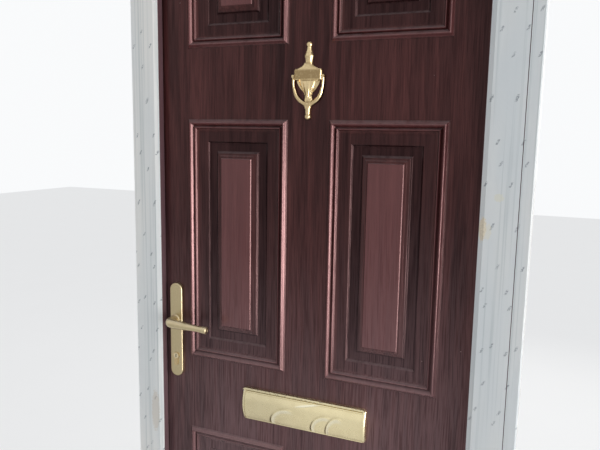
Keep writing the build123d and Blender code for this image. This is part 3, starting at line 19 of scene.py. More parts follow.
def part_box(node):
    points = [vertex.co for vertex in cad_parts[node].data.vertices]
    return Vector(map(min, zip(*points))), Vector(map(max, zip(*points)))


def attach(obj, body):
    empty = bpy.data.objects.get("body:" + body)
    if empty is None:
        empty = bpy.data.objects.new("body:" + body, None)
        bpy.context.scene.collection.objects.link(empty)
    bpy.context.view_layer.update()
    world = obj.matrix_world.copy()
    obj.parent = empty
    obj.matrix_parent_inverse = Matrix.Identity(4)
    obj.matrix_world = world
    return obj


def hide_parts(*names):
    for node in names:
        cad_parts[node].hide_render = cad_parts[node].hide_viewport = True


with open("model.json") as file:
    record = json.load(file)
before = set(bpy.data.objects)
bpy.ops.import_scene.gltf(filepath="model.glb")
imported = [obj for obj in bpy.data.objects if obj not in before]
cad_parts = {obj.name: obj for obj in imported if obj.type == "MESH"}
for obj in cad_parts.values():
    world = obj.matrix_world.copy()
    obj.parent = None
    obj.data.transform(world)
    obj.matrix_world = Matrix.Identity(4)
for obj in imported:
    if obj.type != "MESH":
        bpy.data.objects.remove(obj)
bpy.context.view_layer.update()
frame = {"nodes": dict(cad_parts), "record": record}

log = logging.getLogger("door")

MM = 0.001
HAIR = 0.01 * MM  # how near two places count as the same
PAST = 1 * MM  # how far a cutter reaches past what it cuts
FLAT = 0.99  # share of a normal along an axis from which a face counts as square to it

Colour = tuple[float, float, float, float]
Point = tuple[float, float, float]
Span = tuple[float, float]
Band = tuple[Span, Span]
Value = bpy.types.NodeSocket | float | Colour | Point


class Side(Enum):
    """A face of the leaf, by the sign of its outward direction along Y."""

    OUTSIDE = -1
    INSIDE = 1


def rgb(red: float, green: float, blue: float) -> Colour:
    """Opaque linear colour."""
    return (red, green, blue, 1.0)


def record_slots() -> dict[str, str]:
    """Material slot of each CAD node, as the record has it."""
    return {part["node"]: part["material_slot"] for part in frame["record"]["subparts"]}


# Hand-tool steps shared by the pieces


def select_only(*objects: bpy.types.Object) -> None:
    """Select these objects alone, and make the first one active."""
    bpy.ops.object.select_all(action="DESELECT")
    for obj in objects:
        obj.select_set(True)
    bpy.context.view_layer.objects.active = objects[0]


@contextmanager
def shaping(obj: bpy.types.Object) -> Iterator[None]:
    """Edit mode on one object, with everything on it deselected."""
    select_only(obj)
    bpy.ops.object.mode_set(mode="EDIT")
    bpy.ops.mesh.select_mode(type="FACE")
    bpy.ops.mesh.select_all(action="DESELECT")
    yield
    bpy.ops.object.mode_set(mode="OBJECT")


def pick(obj: bpy.types.Object, kind: str, test: Callable[[object], bool]) -> None:
    """Select the elements of an edited mesh that pass a test.

    Args:
        obj: the object in edit mode.
        kind: "faces" or "edges".
        test: says whether one element is taken.
    """
    bpy.ops.mesh.select_mode(type={"faces": "FACE", "edges": "EDGE"}[kind])
    bpy.ops.mesh.select_all(action="DESELECT")
    mesh = bmesh.from_edit_mesh(obj.data)
    for element in getattr(mesh, kind):
        if test(element):
            element.select_set(True)
    bmesh.update_edit_mesh(obj.data)


def named(obj: bpy.types.Object, name: str) -> bpy.types.Object:
    """Give an object and its mesh one name, and put its place into its mesh."""
    obj.name = name
    obj.data.name = name
    select_only(obj)
    bpy.ops.object.transform_apply(location=True, rotation=True, scale=True)
    return obj


def apply_modifier(obj: bpy.types.Object, kind: str, **settings: object) -> None:
    """Add one modifier with these settings and apply it."""
    modifier = obj.modifiers.new(kind.lower(), kind)
    for key, value in settings.items():
        setattr(modifier, key, value)
    select_only(obj)
    bpy.ops.object.modifier_apply(modifier=modifier.name)


def smooth(obj: bpy.types.Object, degrees: float = 30.0) -> None:
    """Shade smooth, with edges sharper than this kept crisp."""
    select_only(obj)
    bpy.ops.object.shade_smooth_by_angle(angle=math.radians(degrees))


def box(name: str, low: Point, high: Point) -> bpy.types.Object:
    """Cube primitive between two corners."""
    centre = [(a + b) / 2 for a, b in zip(low, high)]
    bpy.ops.mesh.primitive_cube_add(size=1.0, location=centre)
    obj = bpy.context.object
    obj.scale = [b - a for a, b in zip(low, high)]
    return named(obj, name)


def combine(obj: bpy.types.Object, other: bpy.types.Object, operation: str) -> None:
    """Apply one boolean step with another object, and remove that object."""
    apply_modifier(obj, "BOOLEAN", operation=operation, solver="EXACT", object=other)
    bpy.data.objects.remove(other)


def rounded(obj: bpy.types.Object, size: float, segments: int,
            test: Callable[[bmesh.types.BMEdge], bool]) -> None:
    """Round the edges of an object that pass a test."""
    with shaping(obj):
        pick(obj, "edges", test)
        bpy.ops.mesh.bevel(offset=size, segments=segments, profile=0.5)


def joined(name: str, *objects: bpy.types.Object) -> bpy.types.Object:
    """Join objects into one mesh under a name."""
    select_only(*objects)
    bpy.ops.object.join()
    return named(bpy.context.object, name)


def smooth_profile(keys: Sequence[tuple[float, float]], step: float) -> list[tuple[float, float]]:
    """Outline that passes smoothly through key points without overshooting them.

    Args:
        keys: (distance, height) pairs in order of distance.
        step: longest distance between two points of the result.

    Returns:
        The finer list of (distance, height) pairs.
    """
    slopes = [(h1 - h0) / (x1 - x0) for (x0, h0), (x1, h1) in zip(keys, keys[1:])]
    tangents = [slopes[0]]
    for before, after in zip(slopes, slopes[1:]):
        tangents.append(0.0 if before * after <= 0 else 2 * before * after / (before + after))
    tangents.append(slopes[-1])
    points = [keys[0]]
    for (x0, h0), (x1, h1), t0, t1 in zip(keys, keys[1:], tangents, tangents[1:]):
        span = x1 - x0
        count = max(1, math.ceil(span / step))
        for index in range(1, count + 1):
            s = index / count
            height = (h0 * (2 * s**3 - 3 * s**2 + 1) + t0 * span * (s**3 - 2 * s**2 + s)
                      + h1 * (3 * s**2 - 2 * s**3) + t1 * span * (s**3 - s**2))
            points.append((x0 + span * s, height))
    return points


# Node materials

SHADER_NAMES = {
    "colour": "Base Color", "roughness": "Roughness", "metallic": "Metallic",
    "specular": "Specular IOR Level", "tint": "Specular Tint",
}
COLOUR_MIX_INPUTS = (0, 6, 7)
COLOUR_MIX_OUTPUT = 2


class Graph:
    """One node tree, built a node at a time around its shader."""

    def __init__(self, owner: bpy.types.Material | bpy.types.World,
                 shader: str = "Principled BSDF") -> None:
        """Open the tree of a material or a world, which holds its shader and its output."""
        owner.use_nodes = True
        self.owner = owner
        self.tree = owner.node_tree
        self.shader = self.tree.nodes[shader]

    @classmethod
    def new(cls, name: str) -> "Graph":
        """Start a new material."""
        return cls(bpy.data.materials.new(name))

    def node(self, kind: str, inputs: dict[str | int, Value] | None = None,
             **settings: object) -> bpy.types.Node:
        """Add a node.

        Args:
            kind: the node's type name, without its ShaderNode prefix.
            inputs: values or sockets for its inputs, by name or number.
            settings: the node's own settings.

        Returns:
            The new node.
        """
        node = self.tree.nodes.new("ShaderNode" + kind)
        for key, value in settings.items():
            setattr(node, key, value)
        for key, value in (inputs or {}).items():
            self.feed(node.inputs[key], value)
        return node

    def feed(self, socket: bpy.types.NodeSocket, value: Value) -> None:
        """Link a socket to an input, or set the input's own value."""
        if isinstance(value, bpy.types.NodeSocket):
            self.tree.links.new(value, socket)
        else:
            socket.default_value = value

    def coords(self, scale: Point = (1.0, 1.0, 1.0)) -> Value:
        """Object coordinates, scaled."""
        source = self.node("TexCoord").outputs["Object"]
        return self.node("Mapping", {"Vector": source, "Scale": scale}).outputs["Vector"]

    def axes(self) -> tuple[Value, Value, Value]:
        """The three object coordinates as separate values."""
        parts = self.node("SeparateXYZ", {0: self.node("TexCoord").outputs["Object"]})
        return parts.outputs[0], parts.outputs[1], parts.outputs[2]

    def math(self, operation: str, a: Value, b: Value = 0.0, clamp: bool = False) -> Value:
        """Result of one arithmetic step."""
        return self.node("Math", {0: a, 1: b}, operation=operation, use_clamp=clamp).outputs[0]

    def times(self, first: Value, *others: Value) -> Value:
        """Product of two or more values."""
        for other in others:
            first = self.math("MULTIPLY", first, other)
        return first

    def plus(self, a: Value, b: Value, clamp: bool = False) -> Value:
        """Sum of two values, held between 0 and 1 where clamped."""
        return self.math("ADD", a, b, clamp)

    def minus(self, a: Value, b: Value, clamp: bool = False) -> Value:
        """Difference of two values, held between 0 and 1 where clamped."""
        return self.math("SUBTRACT", a, b, clamp)

    def over(self, a: Value, b: Value) -> Value:
        """Quotient of two values."""
        return self.math("DIVIDE", a, b)

    def larger(self, a: Value, b: Value, clamp: bool = False) -> Value:
        """The larger of two values, held between 0 and 1 where clamped."""
        return self.math("MAXIMUM", a, b, clamp)

    def above(self, value: Value, limit: float) -> Value:
        """1 above a limit and 0 below it."""
        return self.math("GREATER_THAN", value, limit)

    def below(self, value: Value, limit: float) -> Value:
        """1 below a limit and 0 above it."""
        return self.math("LESS_THAN", value, limit)

    def away(self, value: Value, middle: float = 0.0) -> Value:
        """Distance of a value from a middle one."""
        return self.math("ABSOLUTE", self.minus(value, middle))

    def radius(self, a: Value, b: Value) -> Value:
        """Length of the diagonal over two distances."""
        return self.math("SQRT", self.plus(self.times(a, a), self.times(b, b)))

    def noise(self, vector: Value, scale: float, detail: float = 4.0, roughness: float = 0.5,
              distortion: float = 0.0) -> Value:
        """Fractal noise between 0 and 1."""
        inputs = {"Vector": vector, "Scale": scale, "Detail": detail, "Roughness": roughness,
                  "Distortion": distortion}
        return self.node("TexNoise", inputs).outputs["Fac"]

    def blotches(self, scale: float, detail: float, band: Span, stretch: Point = (1.0, 1.0, 1.0)) -> Value:
        """Soft blotches from 0 to 1, cut from a band of a noise's values."""
        return self.ramp(self.noise(self.coords(stretch), scale, detail), *band)

    def ramp(self, value: Value, start: float, end: float, low: float = 0.0, high: float = 1.0) -> Value:
        """Smooth step from low to high while the value goes from start to end."""
        inputs = {"Value": value, "From Min": start, "From Max": end, "To Min": low, "To Max": high}
        node = self.node("MapRange", inputs, interpolation_type="SMOOTHSTEP")
        return node.outputs["Result"]

    def mix(self, factor: Value, a: Value, b: Value, blend: str = "MIX") -> Value:
        """Two colours mixed."""
        node = self.node("Mix", data_type="RGBA", blend_type=blend)
        for index, value in zip(COLOUR_MIX_INPUTS, (factor, a, b)):
            self.feed(node.inputs[index], value)
        return node.outputs[COLOUR_MIX_OUTPUT]

    def facing(self, axis: int) -> Value:
        """Share of the surface's normal along an axis, from -1 to 1."""
        return self.node("SeparateXYZ", {0: self.node("NewGeometry").outputs["Normal"]}).outputs[axis]

    def up(self) -> Value:
        """How far the surface faces up, from 0 to 1."""
        return self.larger(self.facing(2), 0.0)

    def patch(self, centre: Point, half: Point, ragged: float = 0.5, grain: float = 260.0,
              edge: Span = (0.8, 1.1)) -> Value:
        """Ragged ellipsoid round a place.

        Args:
            centre: its middle.
            half: its half sizes.
            ragged: how far its edge wanders, as a share of the half sizes.
            grain: how fine the wandering is.
            edge: relative distances at which it is still full and has ended.

        Returns:
            1 inside and 0 outside.
        """
        source = self.node("TexCoord").outputs["Object"]
        offset = self.node("VectorMath", {0: source, 1: centre}, operation="SUBTRACT").outputs[0]
        shares = [1 / size for size in half]
        scaled = self.node("VectorMath", {0: offset, 1: shares}, operation="MULTIPLY").outputs[0]
        distance = self.node("VectorMath", {0: scaled}, operation="LENGTH").outputs["Value"]
        wander = self.times(self.minus(self.noise(self.coords(), grain), 0.5), 2 * ragged)
        return self.ramp(self.plus(distance, wander), *edge, 1.0, 0.0)

    def bump(self, *layers: tuple[Value, float]) -> None:
        """Relief on the shader, from (height, depth in metres) layers."""
        normal = None
        for height, depth in layers:
            inputs = {"Height": height, "Distance": depth, "Strength": 1.0}
            if normal is not None:
                inputs["Normal"] = normal
            normal = self.node("Bump", inputs).outputs["Normal"]
        self.feed(self.shader.inputs["Normal"], normal)

    def held(self, name: str) -> Value:
        """What already feeds one of the shader's inputs, named as in SHADER_NAMES."""
        return self.shader.inputs[SHADER_NAMES[name]].links[0].from_socket

    def surface(self, **inputs: Value) -> bpy.types.Material:
        """Set the shader's inputs, named as in SHADER_NAMES, and return the material."""
        for key, value in inputs.items():
            self.feed(self.shader.inputs[SHADER_NAMES[key]], value)
        return self.owner

    def two_looks(self, seen: Value, lit: Value, output: str) -> None:
        """Show one shader to the camera and in reflections, and another one to everything else.

        Args:
            seen: the shader that is looked at.
            lit: the shader that lights and is lit.
            output: name of the output node that takes both.
        """
        path = self.node("LightPath")
        looked = path.outputs["Is Camera Ray"]
        for ray in ("Is Glossy Ray", "Is Transmission Ray"):
            looked = self.larger(looked, path.outputs[ray])
        mixed = self.node("MixShader", {0: looked, 1: lit, 2: seen}).outputs[0]
        self.feed(self.tree.nodes[output].inputs[0], mixed)


class Grain(NamedTuple):
    """Layers of the printed woodgrain. Fine is the noise that its lines are cut from."""

    tone: Value
    streaks: Value
    fine: Value
    lines: Value
    pores: Value


@dataclass(frozen=True)
class WoodgrainFoil:
    """Dark red-brown foil with an upright printed grain, dusty where it faces up, with painted shade in the
    recesses and a painted reflection of the pale ground low on the door.

    The panels' raised fields and recesses are told apart by their Y. Each span starts where its effect does
    and ends where it is full.
    """

    name: str
    dark: Colour
    light: Colour
    dust: Colour
    gloss: float
    sheen: Colour = (1.0, 0.58, 0.57, 1.0)
    # painted reflection of the pale ground on the lower door
    ground_reflection: Colour = (0.24, 0.16, 0.17, 1.0)
    raised: Colour = (0.105, 0.026, 0.028, 1.0)
    # painted shade: the colour the recesses are darkened towards
    recess_shade: Colour = (0.006, 0.003, 0.004, 1.0)
    pore: Colour = (0.006, 0.004, 0.004, 1.0)
    shift: float = 12 * MM
    sway: float = 20 * MM
    broad_scale: Point = (4.0, 4.0, 0.8)
    broad_band: Span = (0.3, 0.7)
    broad_share: float = 0.45
    streak_scale: Point = (70.0, 70.0, 3.0)
    streak_band: Span = (0.32, 0.70)
    streak_share: float = 0.55
    streak_relief: float = 0.10 * MM
    line_scale: Point = (420.0, 420.0, 12.0)
    line_band: Span = (0.42, 0.66)
    line_strength: float = 0.42
    line_relief: float = 0.05 * MM
    pore_scale: Point = (900.0, 900.0, 22.0)
    pore_band: Span = (0.60, 0.72)
    pore_strength: float = 0.6
    pore_relief: float = -0.06 * MM
    field_y: Span = (-0.0108, -0.0126)
    field_strength: float = 0.50
    field_shine_y: Span = (-0.0108, -0.0122)
    field_shine: float = 0.50
    # painted shade in the recesses: where it starts, where it is full, and its strength
    recess_shade_y: Span = (-0.0085, -0.0045)
    recess_shade_strength: float = 0.68
    recess_shine_y: Span = (-0.0085, -0.0030)
    recess_shine: float = 0.14
    shine_base: float = 0.32
    shine_of_tone: float = 0.18
    shine_of_lines: float = -0.12
    # painted ground reflection: heights where it starts and is full, its clouds and its strength
    ground_reflection_z: Span = (1.50, 0.60)
    ground_reflection_band: Span = (0.2, 0.7)
    ground_reflection_strength: float = 0.80
    ground_reflection_on_lines: float = -0.40
    dust_slope: Span = (0.25, 0.95)
    dust_scale: float = 60.0
    dust_band: Span = (0.05, 0.60)
    dust_strength: float = 0.38
    dust_roughness: float = 0.3
    streak_roughness: float = 0.08
    speck_scale: float = 38.0
    speck_size: float = 0.035
    speck_draw: float = 0.90
    speck_strength: float = 0.75

    def grain(self, g: Graph) -> Grain:
        """The print's layers, on lines that sway a little."""
        wander = g.noise(g.coords((1.0, 1.0, 0.25)), 6.0, 3.0)
        aside = g.node("CombineXYZ", {0: g.plus(g.times(wander, self.sway), self.shift)}).outputs[0]
        place = g.node("VectorMath", {0: g.coords(), 1: aside}, operation="ADD").outputs[0]

        def drawn_out(scale: Point, detail: float, roughness: float) -> Value:
            """Noise stretched along the grain."""
            vector = g.node("Mapping", {"Vector": place, "Scale": scale}).outputs["Vector"]
            return g.noise(vector, 1.0, detail, roughness)

        streaks = drawn_out(self.streak_scale, 5.0, 0.6)
        fine = drawn_out(self.line_scale, 3.0, 0.6)
        pores = g.ramp(drawn_out(self.pore_scale, 2.0, 0.5), *self.pore_band)
        broad = g.blotches(1.0, 2.0, self.broad_band, self.broad_scale)
        tone = g.plus(g.ramp(streaks, *self.streak_band, 0.0, self.streak_share),
                      g.times(broad, self.broad_share))
        return Grain(tone, streaks, fine, g.ramp(fine, *self.line_band), pores)

    def printed_with_recess_shade(self, g: Graph, grain: Grain) -> Value:
        """Colour of the print, redder on the raised fields, with painted shade darkening the recesses."""
        colour = g.mix(grain.tone, self.dark, self.light)
        colour = g.mix(g.times(grain.lines, self.line_strength), colour, self.dark)
        colour = g.mix(g.times(grain.pores, self.pore_strength), colour, self.pore)
        y = g.axes()[1]
        colour = g.mix(g.ramp(y, *self.field_y, 0.0, self.field_strength), colour, self.raised)
        # painted shade darkens the recesses
        return g.mix(g.ramp(y, *self.recess_shade_y, 0.0, self.recess_shade_strength), colour, self.recess_shade)

    def painted_ground_reflection(self, g: Graph, lines: Value) -> Value:
        """Painted reflection of the pale ground low on the door, thinner on the grain's lines."""
        cloud = g.blotches(1.0, 3.0, self.ground_reflection_band, (2.0, 2.0, 1.0))
        strength = g.plus(self.ground_reflection_strength, g.times(lines, self.ground_reflection_on_lines))
        return g.times(g.ramp(g.axes()[2], *self.ground_reflection_z), cloud, strength)

    def dustiness(self, g: Graph) -> Value:
        """Dust that has settled on what faces up, and a few pale specks."""
        speck = g.node("TexVoronoi", {"Vector": g.coords(), "Scale": self.speck_scale})
        draw = g.node("SeparateColor", {0: speck.outputs["Color"]}).outputs[0]
        dot = g.times(g.below(speck.outputs["Distance"], self.speck_size), g.above(draw, self.speck_draw))
        settled = g.times(g.ramp(g.up(), *self.dust_slope), g.blotches(self.dust_scale, 5.0, self.dust_band))
        return g.larger(g.times(settled, self.dust_strength), g.times(dot, self.speck_strength), clamp=True)

    def shine(self, g: Graph, grain: Grain) -> Value:
        """Strength of its reflections, lower in the recesses and higher on the raised fields."""
        y = g.axes()[1]
        shine = g.plus(g.plus(self.shine_base, g.times(grain.tone, self.shine_of_tone)),
                       g.times(grain.lines, self.shine_of_lines))
        shine = g.minus(shine, g.ramp(y, *self.recess_shine_y, 0.0, self.recess_shine), clamp=True)
        return g.plus(shine, g.ramp(y, *self.field_shine_y, 0.0, self.field_shine), clamp=True)

    def material(self) -> bpy.types.Material:
        """Build the node material."""
        g = Graph.new(self.name)
        grain = self.grain(g)
        dust = self.dustiness(g)
        # painted reflection of the pale ground over the print
        colour = g.mix(self.painted_ground_reflection(g, grain.lines), self.printed_with_recess_shade(g, grain), self.ground_reflection)
        colour = g.mix(dust, colour, self.dust)
        rough = g.plus(self.gloss, g.times(grain.streaks, self.streak_roughness))
        rough = g.plus(rough, g.times(dust, self.dust_roughness), clamp=True)
        g.bump((grain.fine, self.line_relief), (grain.pores, self.pore_relief),
               (grain.streaks, self.streak_relief))
        return g.surface(colour=colour, roughness=rough, specular=self.shine(g, grain), tint=self.sheen)


@dataclass(frozen=True)
class Stain:
    """Ragged patch on the film, with crumbs of old glue where it has any."""

    centre: Point
    half: Point
    tint: Colour
    strength: float
    crumbs: float = 0.0


@dataclass(frozen=True)
class ProtectiveFilm:
    """Whitish film with faint upright streaks and short slanted printed ticks, and painted shade on the
    right jamb.

    The ticks stand on two grids, each a distance between rows and an (X, Z) offset. A tick's width and
    length are the half sizes at which it is still full and has ended.
    """

    name: str
    base: Colour
    cool: Colour
    mark: Colour
    # painted shade: the film is darker on the right jamb
    right_jamb_shade: Colour = (0.87, 0.89, 0.91, 1.0)
    streak: Colour = (0.33, 0.40, 0.41, 1.0)
    crumb: Colour = (0.20, 0.15, 0.10, 1.0)
    cloud_scale: Point = (9.0, 9.0, 2.2)
    cloud_band: Span = (0.35, 0.65)
    right_jamb_shade_x: Span = (-0.3, 0.3)
    streak_scale: Point = (160.0, 160.0, 1.6)
    streak_band: Span = (0.50, 0.70)
    streak_strength: float = 0.34
    streak_relief: float = 0.1 * MM
    ripple_scale: Point = (24.0, 24.0, 7.0)
    ripple_relief: float = 1.2 * MM
    roughness: float = 0.44
    cloud_roughness: float = 0.2
    specular: float = 0.2
    grids: tuple[tuple[float, Span], ...] = ((78 * MM, (10 * MM, 0.0)), (121 * MM, (27 * MM, 31 * MM)))
    column: float = 45 * MM
    stagger: float = 35 * MM
    lean: float = 0.45
    tick_width: Span = (1.3 * MM, 2.7 * MM)
    tick_length: Span = (3.8 * MM, 6.0 * MM)
    tick_strength: float = 0.75
    rubbed_scale: float = 420.0
    rubbed_band: Span = (0.35, 0.6)
    crumb_scale: float = 900.0
    crumb_band: Span = (0.55, 0.68)
    stains: tuple[Stain, ...] = (
        Stain((0.3705, -0.032, 1.357), (0.0075, 0.02, 0.024), rgb(0.80, 0.71, 0.54), 0.9, crumbs=0.7),
        Stain((0.381, -0.035, 1.352), (0.006, 0.02, 0.016), rgb(0.76, 0.73, 0.60), 0.5),
        Stain((0.397, -0.035, 1.418), (0.009, 0.02, 0.008), rgb(0.74, 0.72, 0.56), 0.45),
        Stain((-0.384, -0.035, 0.843), (0.012, 0.02, 0.055), rgb(0.60, 0.50, 0.37), 0.4),
        Stain((-0.392, -0.035, 0.70), (0.008, 0.02, 0.03), rgb(0.60, 0.52, 0.40), 0.35),
    )

    def ticks(self, g: Graph, pitch: float, offset: Span) -> Value:
        """Short slanted dashes on a staggered grid.

        Args:
            g: the material being built.
            pitch: distance between rows of dashes.
            offset: shift of the whole grid along X and Z.

        Returns:
            1 on a dash and 0 elsewhere.
        """
        x, _, z = g.axes()
        row = g.over(g.plus(z, offset[1]), pitch)
        sway = g.node("TexWhiteNoise", {"W": g.math("FLOOR", row)}, noise_dimensions="1D").outputs["Value"]
        along = g.times(g.minus(g.math("FRACT", row), 0.5), pitch)
        across = g.over(g.plus(g.plus(x, offset[0]), g.times(sway, self.stagger)), self.column)
        side = g.times(g.minus(g.math("FRACT", across), 0.5), self.column)
        slant = g.minus(side, g.times(along, self.lean))
        narrow = g.ramp(g.away(slant), *self.tick_width, 1.0, 0.0)
        return g.times(narrow, g.ramp(g.away(along), *self.tick_length, 1.0, 0.0))

    def stained(self, g: Graph, colour: Value) -> Value:
        """The film's colour under its stains, with the crumbs on top."""
        spots = [g.patch(stain.centre, stain.half) for stain in self.stains]
        for stain, spot in zip(self.stains, spots):
            colour = g.mix(g.times(spot, stain.strength), colour, stain.tint)
        grit = g.blotches(self.crumb_scale, 3.0, self.crumb_band)
        for stain, spot in zip(self.stains, spots):
            if stain.crumbs:
                colour = g.mix(g.times(spot, grit, stain.crumbs), colour, self.crumb)
        return colour

    def material(self) -> bpy.types.Material:
        """Build the node material."""
        g = Graph.new(self.name)
        streaks = g.noise(g.coords(self.streak_scale), 1.0, 4.0, 0.55)
        clouds = g.noise(g.coords(self.cloud_scale), 1.0, 3.0)
        colour = g.mix(g.ramp(clouds, *self.cloud_band), self.base, self.cool)
        # painted shade darkens the film towards the right
        colour = g.mix(g.ramp(g.axes()[0], *self.right_jamb_shade_x), colour, self.right_jamb_shade, "MULTIPLY")
        colour = g.mix(g.ramp(streaks, *self.streak_band, 0.0, self.streak_strength), colour, self.streak)
        first, second = (self.ticks(g, pitch, offset) for pitch, offset in self.grids)
        rubbed = g.blotches(self.rubbed_scale, 2.0, self.rubbed_band)
        colour = g.mix(g.times(g.larger(first, second), rubbed, self.tick_strength), colour, self.mark)
        ripples = g.noise(g.coords(self.ripple_scale), 1.0, 4.0, 0.55, distortion=0.6)
        g.bump((ripples, self.ripple_relief), (streaks, self.streak_relief))
        rough = g.plus(self.roughness, g.times(clouds, self.cloud_roughness))
        return g.surface(colour=self.stained(g, colour), roughness=rough, specular=self.specular)


@dataclass(frozen=True)
class GoldPlate:
    """Gold-coloured plated metal, from satin to polished, with a painted dark reflection on its broad front
    faces.
    """

    name: str
    bright: Colour
    dull_and_dark_reflection: Colour
    roughness: float
    brushed: float
    # strength of the painted dark reflection on the broad front faces
    face: float = 0.0
    face_normal: Span = (0.90, 0.99)
    grain_scale: Point = (900.0, 900.0, 30.0)
    cloud_scale: float = 45.0
    cloud_relief: float = 0.08 * MM
    mottle_band: Span = (0.35, 0.72)
    mottle_strength: float = 0.6
    spot_scale: float = 220.0
    spot_band: Span = (0.50, 0.75)
    spot_strength: float = 0.35
    dull_roughness: float = 0.16
    dust: Colour = (0.62, 0.60, 0.55, 1.0)
    dust_slope: Span = (0.4, 1.0)
    dust_scale: float = 300.0
    dust_band: Span = (0.4, 0.7)
    dust_strength: float = 0.35
    dust_roughness: float = 0.3

    def relief(self, g: Graph) -> list[tuple[Value, float]]:
        """Further (height, depth) layers of relief."""
        return []

    def dark_reflection_extent(self, g: Graph) -> Value:
        """Where the broad front faces get the painted dark reflection, from 0 to 1."""
        return 1.0

    def shade(self, g: Graph, colour: Value) -> Value:
        """The metal's colour with its own markings and any painted highlights and shade."""
        return colour

    def dullness_and_dark_reflection(self, g: Graph, cloud: Value) -> Value:
        """How dull it is, 0 to 1: mottled, with a painted dark reflection on front faces and small bright
        spots.
        """
        mottle = g.ramp(cloud, *self.mottle_band, 0.0, self.mottle_strength)
        # painted dark reflection on faces that look to the front or the back
        front = g.times(g.ramp(g.away(g.facing(1)), *self.face_normal), self.face, self.dark_reflection_extent(g))
        bright = g.noise(g.coords(), self.spot_scale, 3.0, 0.6)
        spots = g.ramp(bright, *self.spot_band, 0.0, self.spot_strength)
        return g.minus(g.larger(mottle, front), spots, clamp=True)

    def material(self) -> bpy.types.Material:
        """Build the node material."""
        g = Graph.new(self.name)
        grain = g.noise(g.coords(self.grain_scale), 1.0, 2.0, 0.6)
        cloud = g.noise(g.coords(), self.cloud_scale, 4.0, 0.6)
        dull_and_dark_reflection_mask = self.dullness_and_dark_reflection(g, cloud)
        # dull colour for the random mottling and for the painted dark reflection
        colour = self.shade(g, g.mix(dull_and_dark_reflection_mask, self.bright, self.dull_and_dark_reflection))
        settled = g.times(g.ramp(g.up(), *self.dust_slope), g.blotches(self.dust_scale, 3.0, self.dust_band))
        colour = g.mix(g.times(settled, self.dust_strength), colour, self.dust)
        rough = g.plus(self.roughness, g.times(dull_and_dark_reflection_mask, self.dull_roughness))
        rough = g.plus(rough, g.times(settled, self.dust_roughness), clamp=True)
        g.bump((grain, self.brushed), (cloud, self.cloud_relief), *self.relief(g))
        return g.surface(colour=colour, roughness=rough, metallic=1.0)


@dataclass(frozen=True)
class KeyedGold(GoldPlate):
    """Gold cylinder plug with painted shade for the mouth of its keyway at each end.

    The plug's middle is an (X, Y, Z), and the painted keyway's size a half width and a half height.
    """

    middle: Point = (-0.333, 0.013, 0.989)
    painted_keyway: Span = (1.1 * MM, 4.2 * MM)
    past: float = 30 * MM
    warding: float = 0.4 * MM
    warding_pitch: float = 1500.0
    # painted shade of the keyway's mouth
    dark: Colour = (0.01, 0.01, 0.01, 1.0)
    gold_and_dark_roughness: Span = (0.3, 0.9)

    def material(self) -> bpy.types.Material:
        """Build the plain gold, then paint shade on the keyway's mouth, whose sides wave like its wards."""
        g = Graph(GoldPlate.material(self))
        x, y, z = g.axes()
        wave = g.times(g.math("SINE", g.times(z, self.warding_pitch)), self.warding)
        aside = g.away(g.plus(g.minus(x, self.middle[0]), wave))
        painted_keyway = g.times(g.below(aside, self.painted_keyway[0]), g.below(g.away(z, self.middle[2]), self.painted_keyway[1]))
        painted_keyway = g.times(painted_keyway, g.above(g.away(y, self.middle[1]), self.past))
        # painted shade where the keyway's mouth is
        colour = g.mix(painted_keyway, g.held("colour"), self.dark)
        return g.surface(colour=colour, roughness=g.ramp(painted_keyway, 0.0, 1.0, *self.gold_and_dark_roughness))


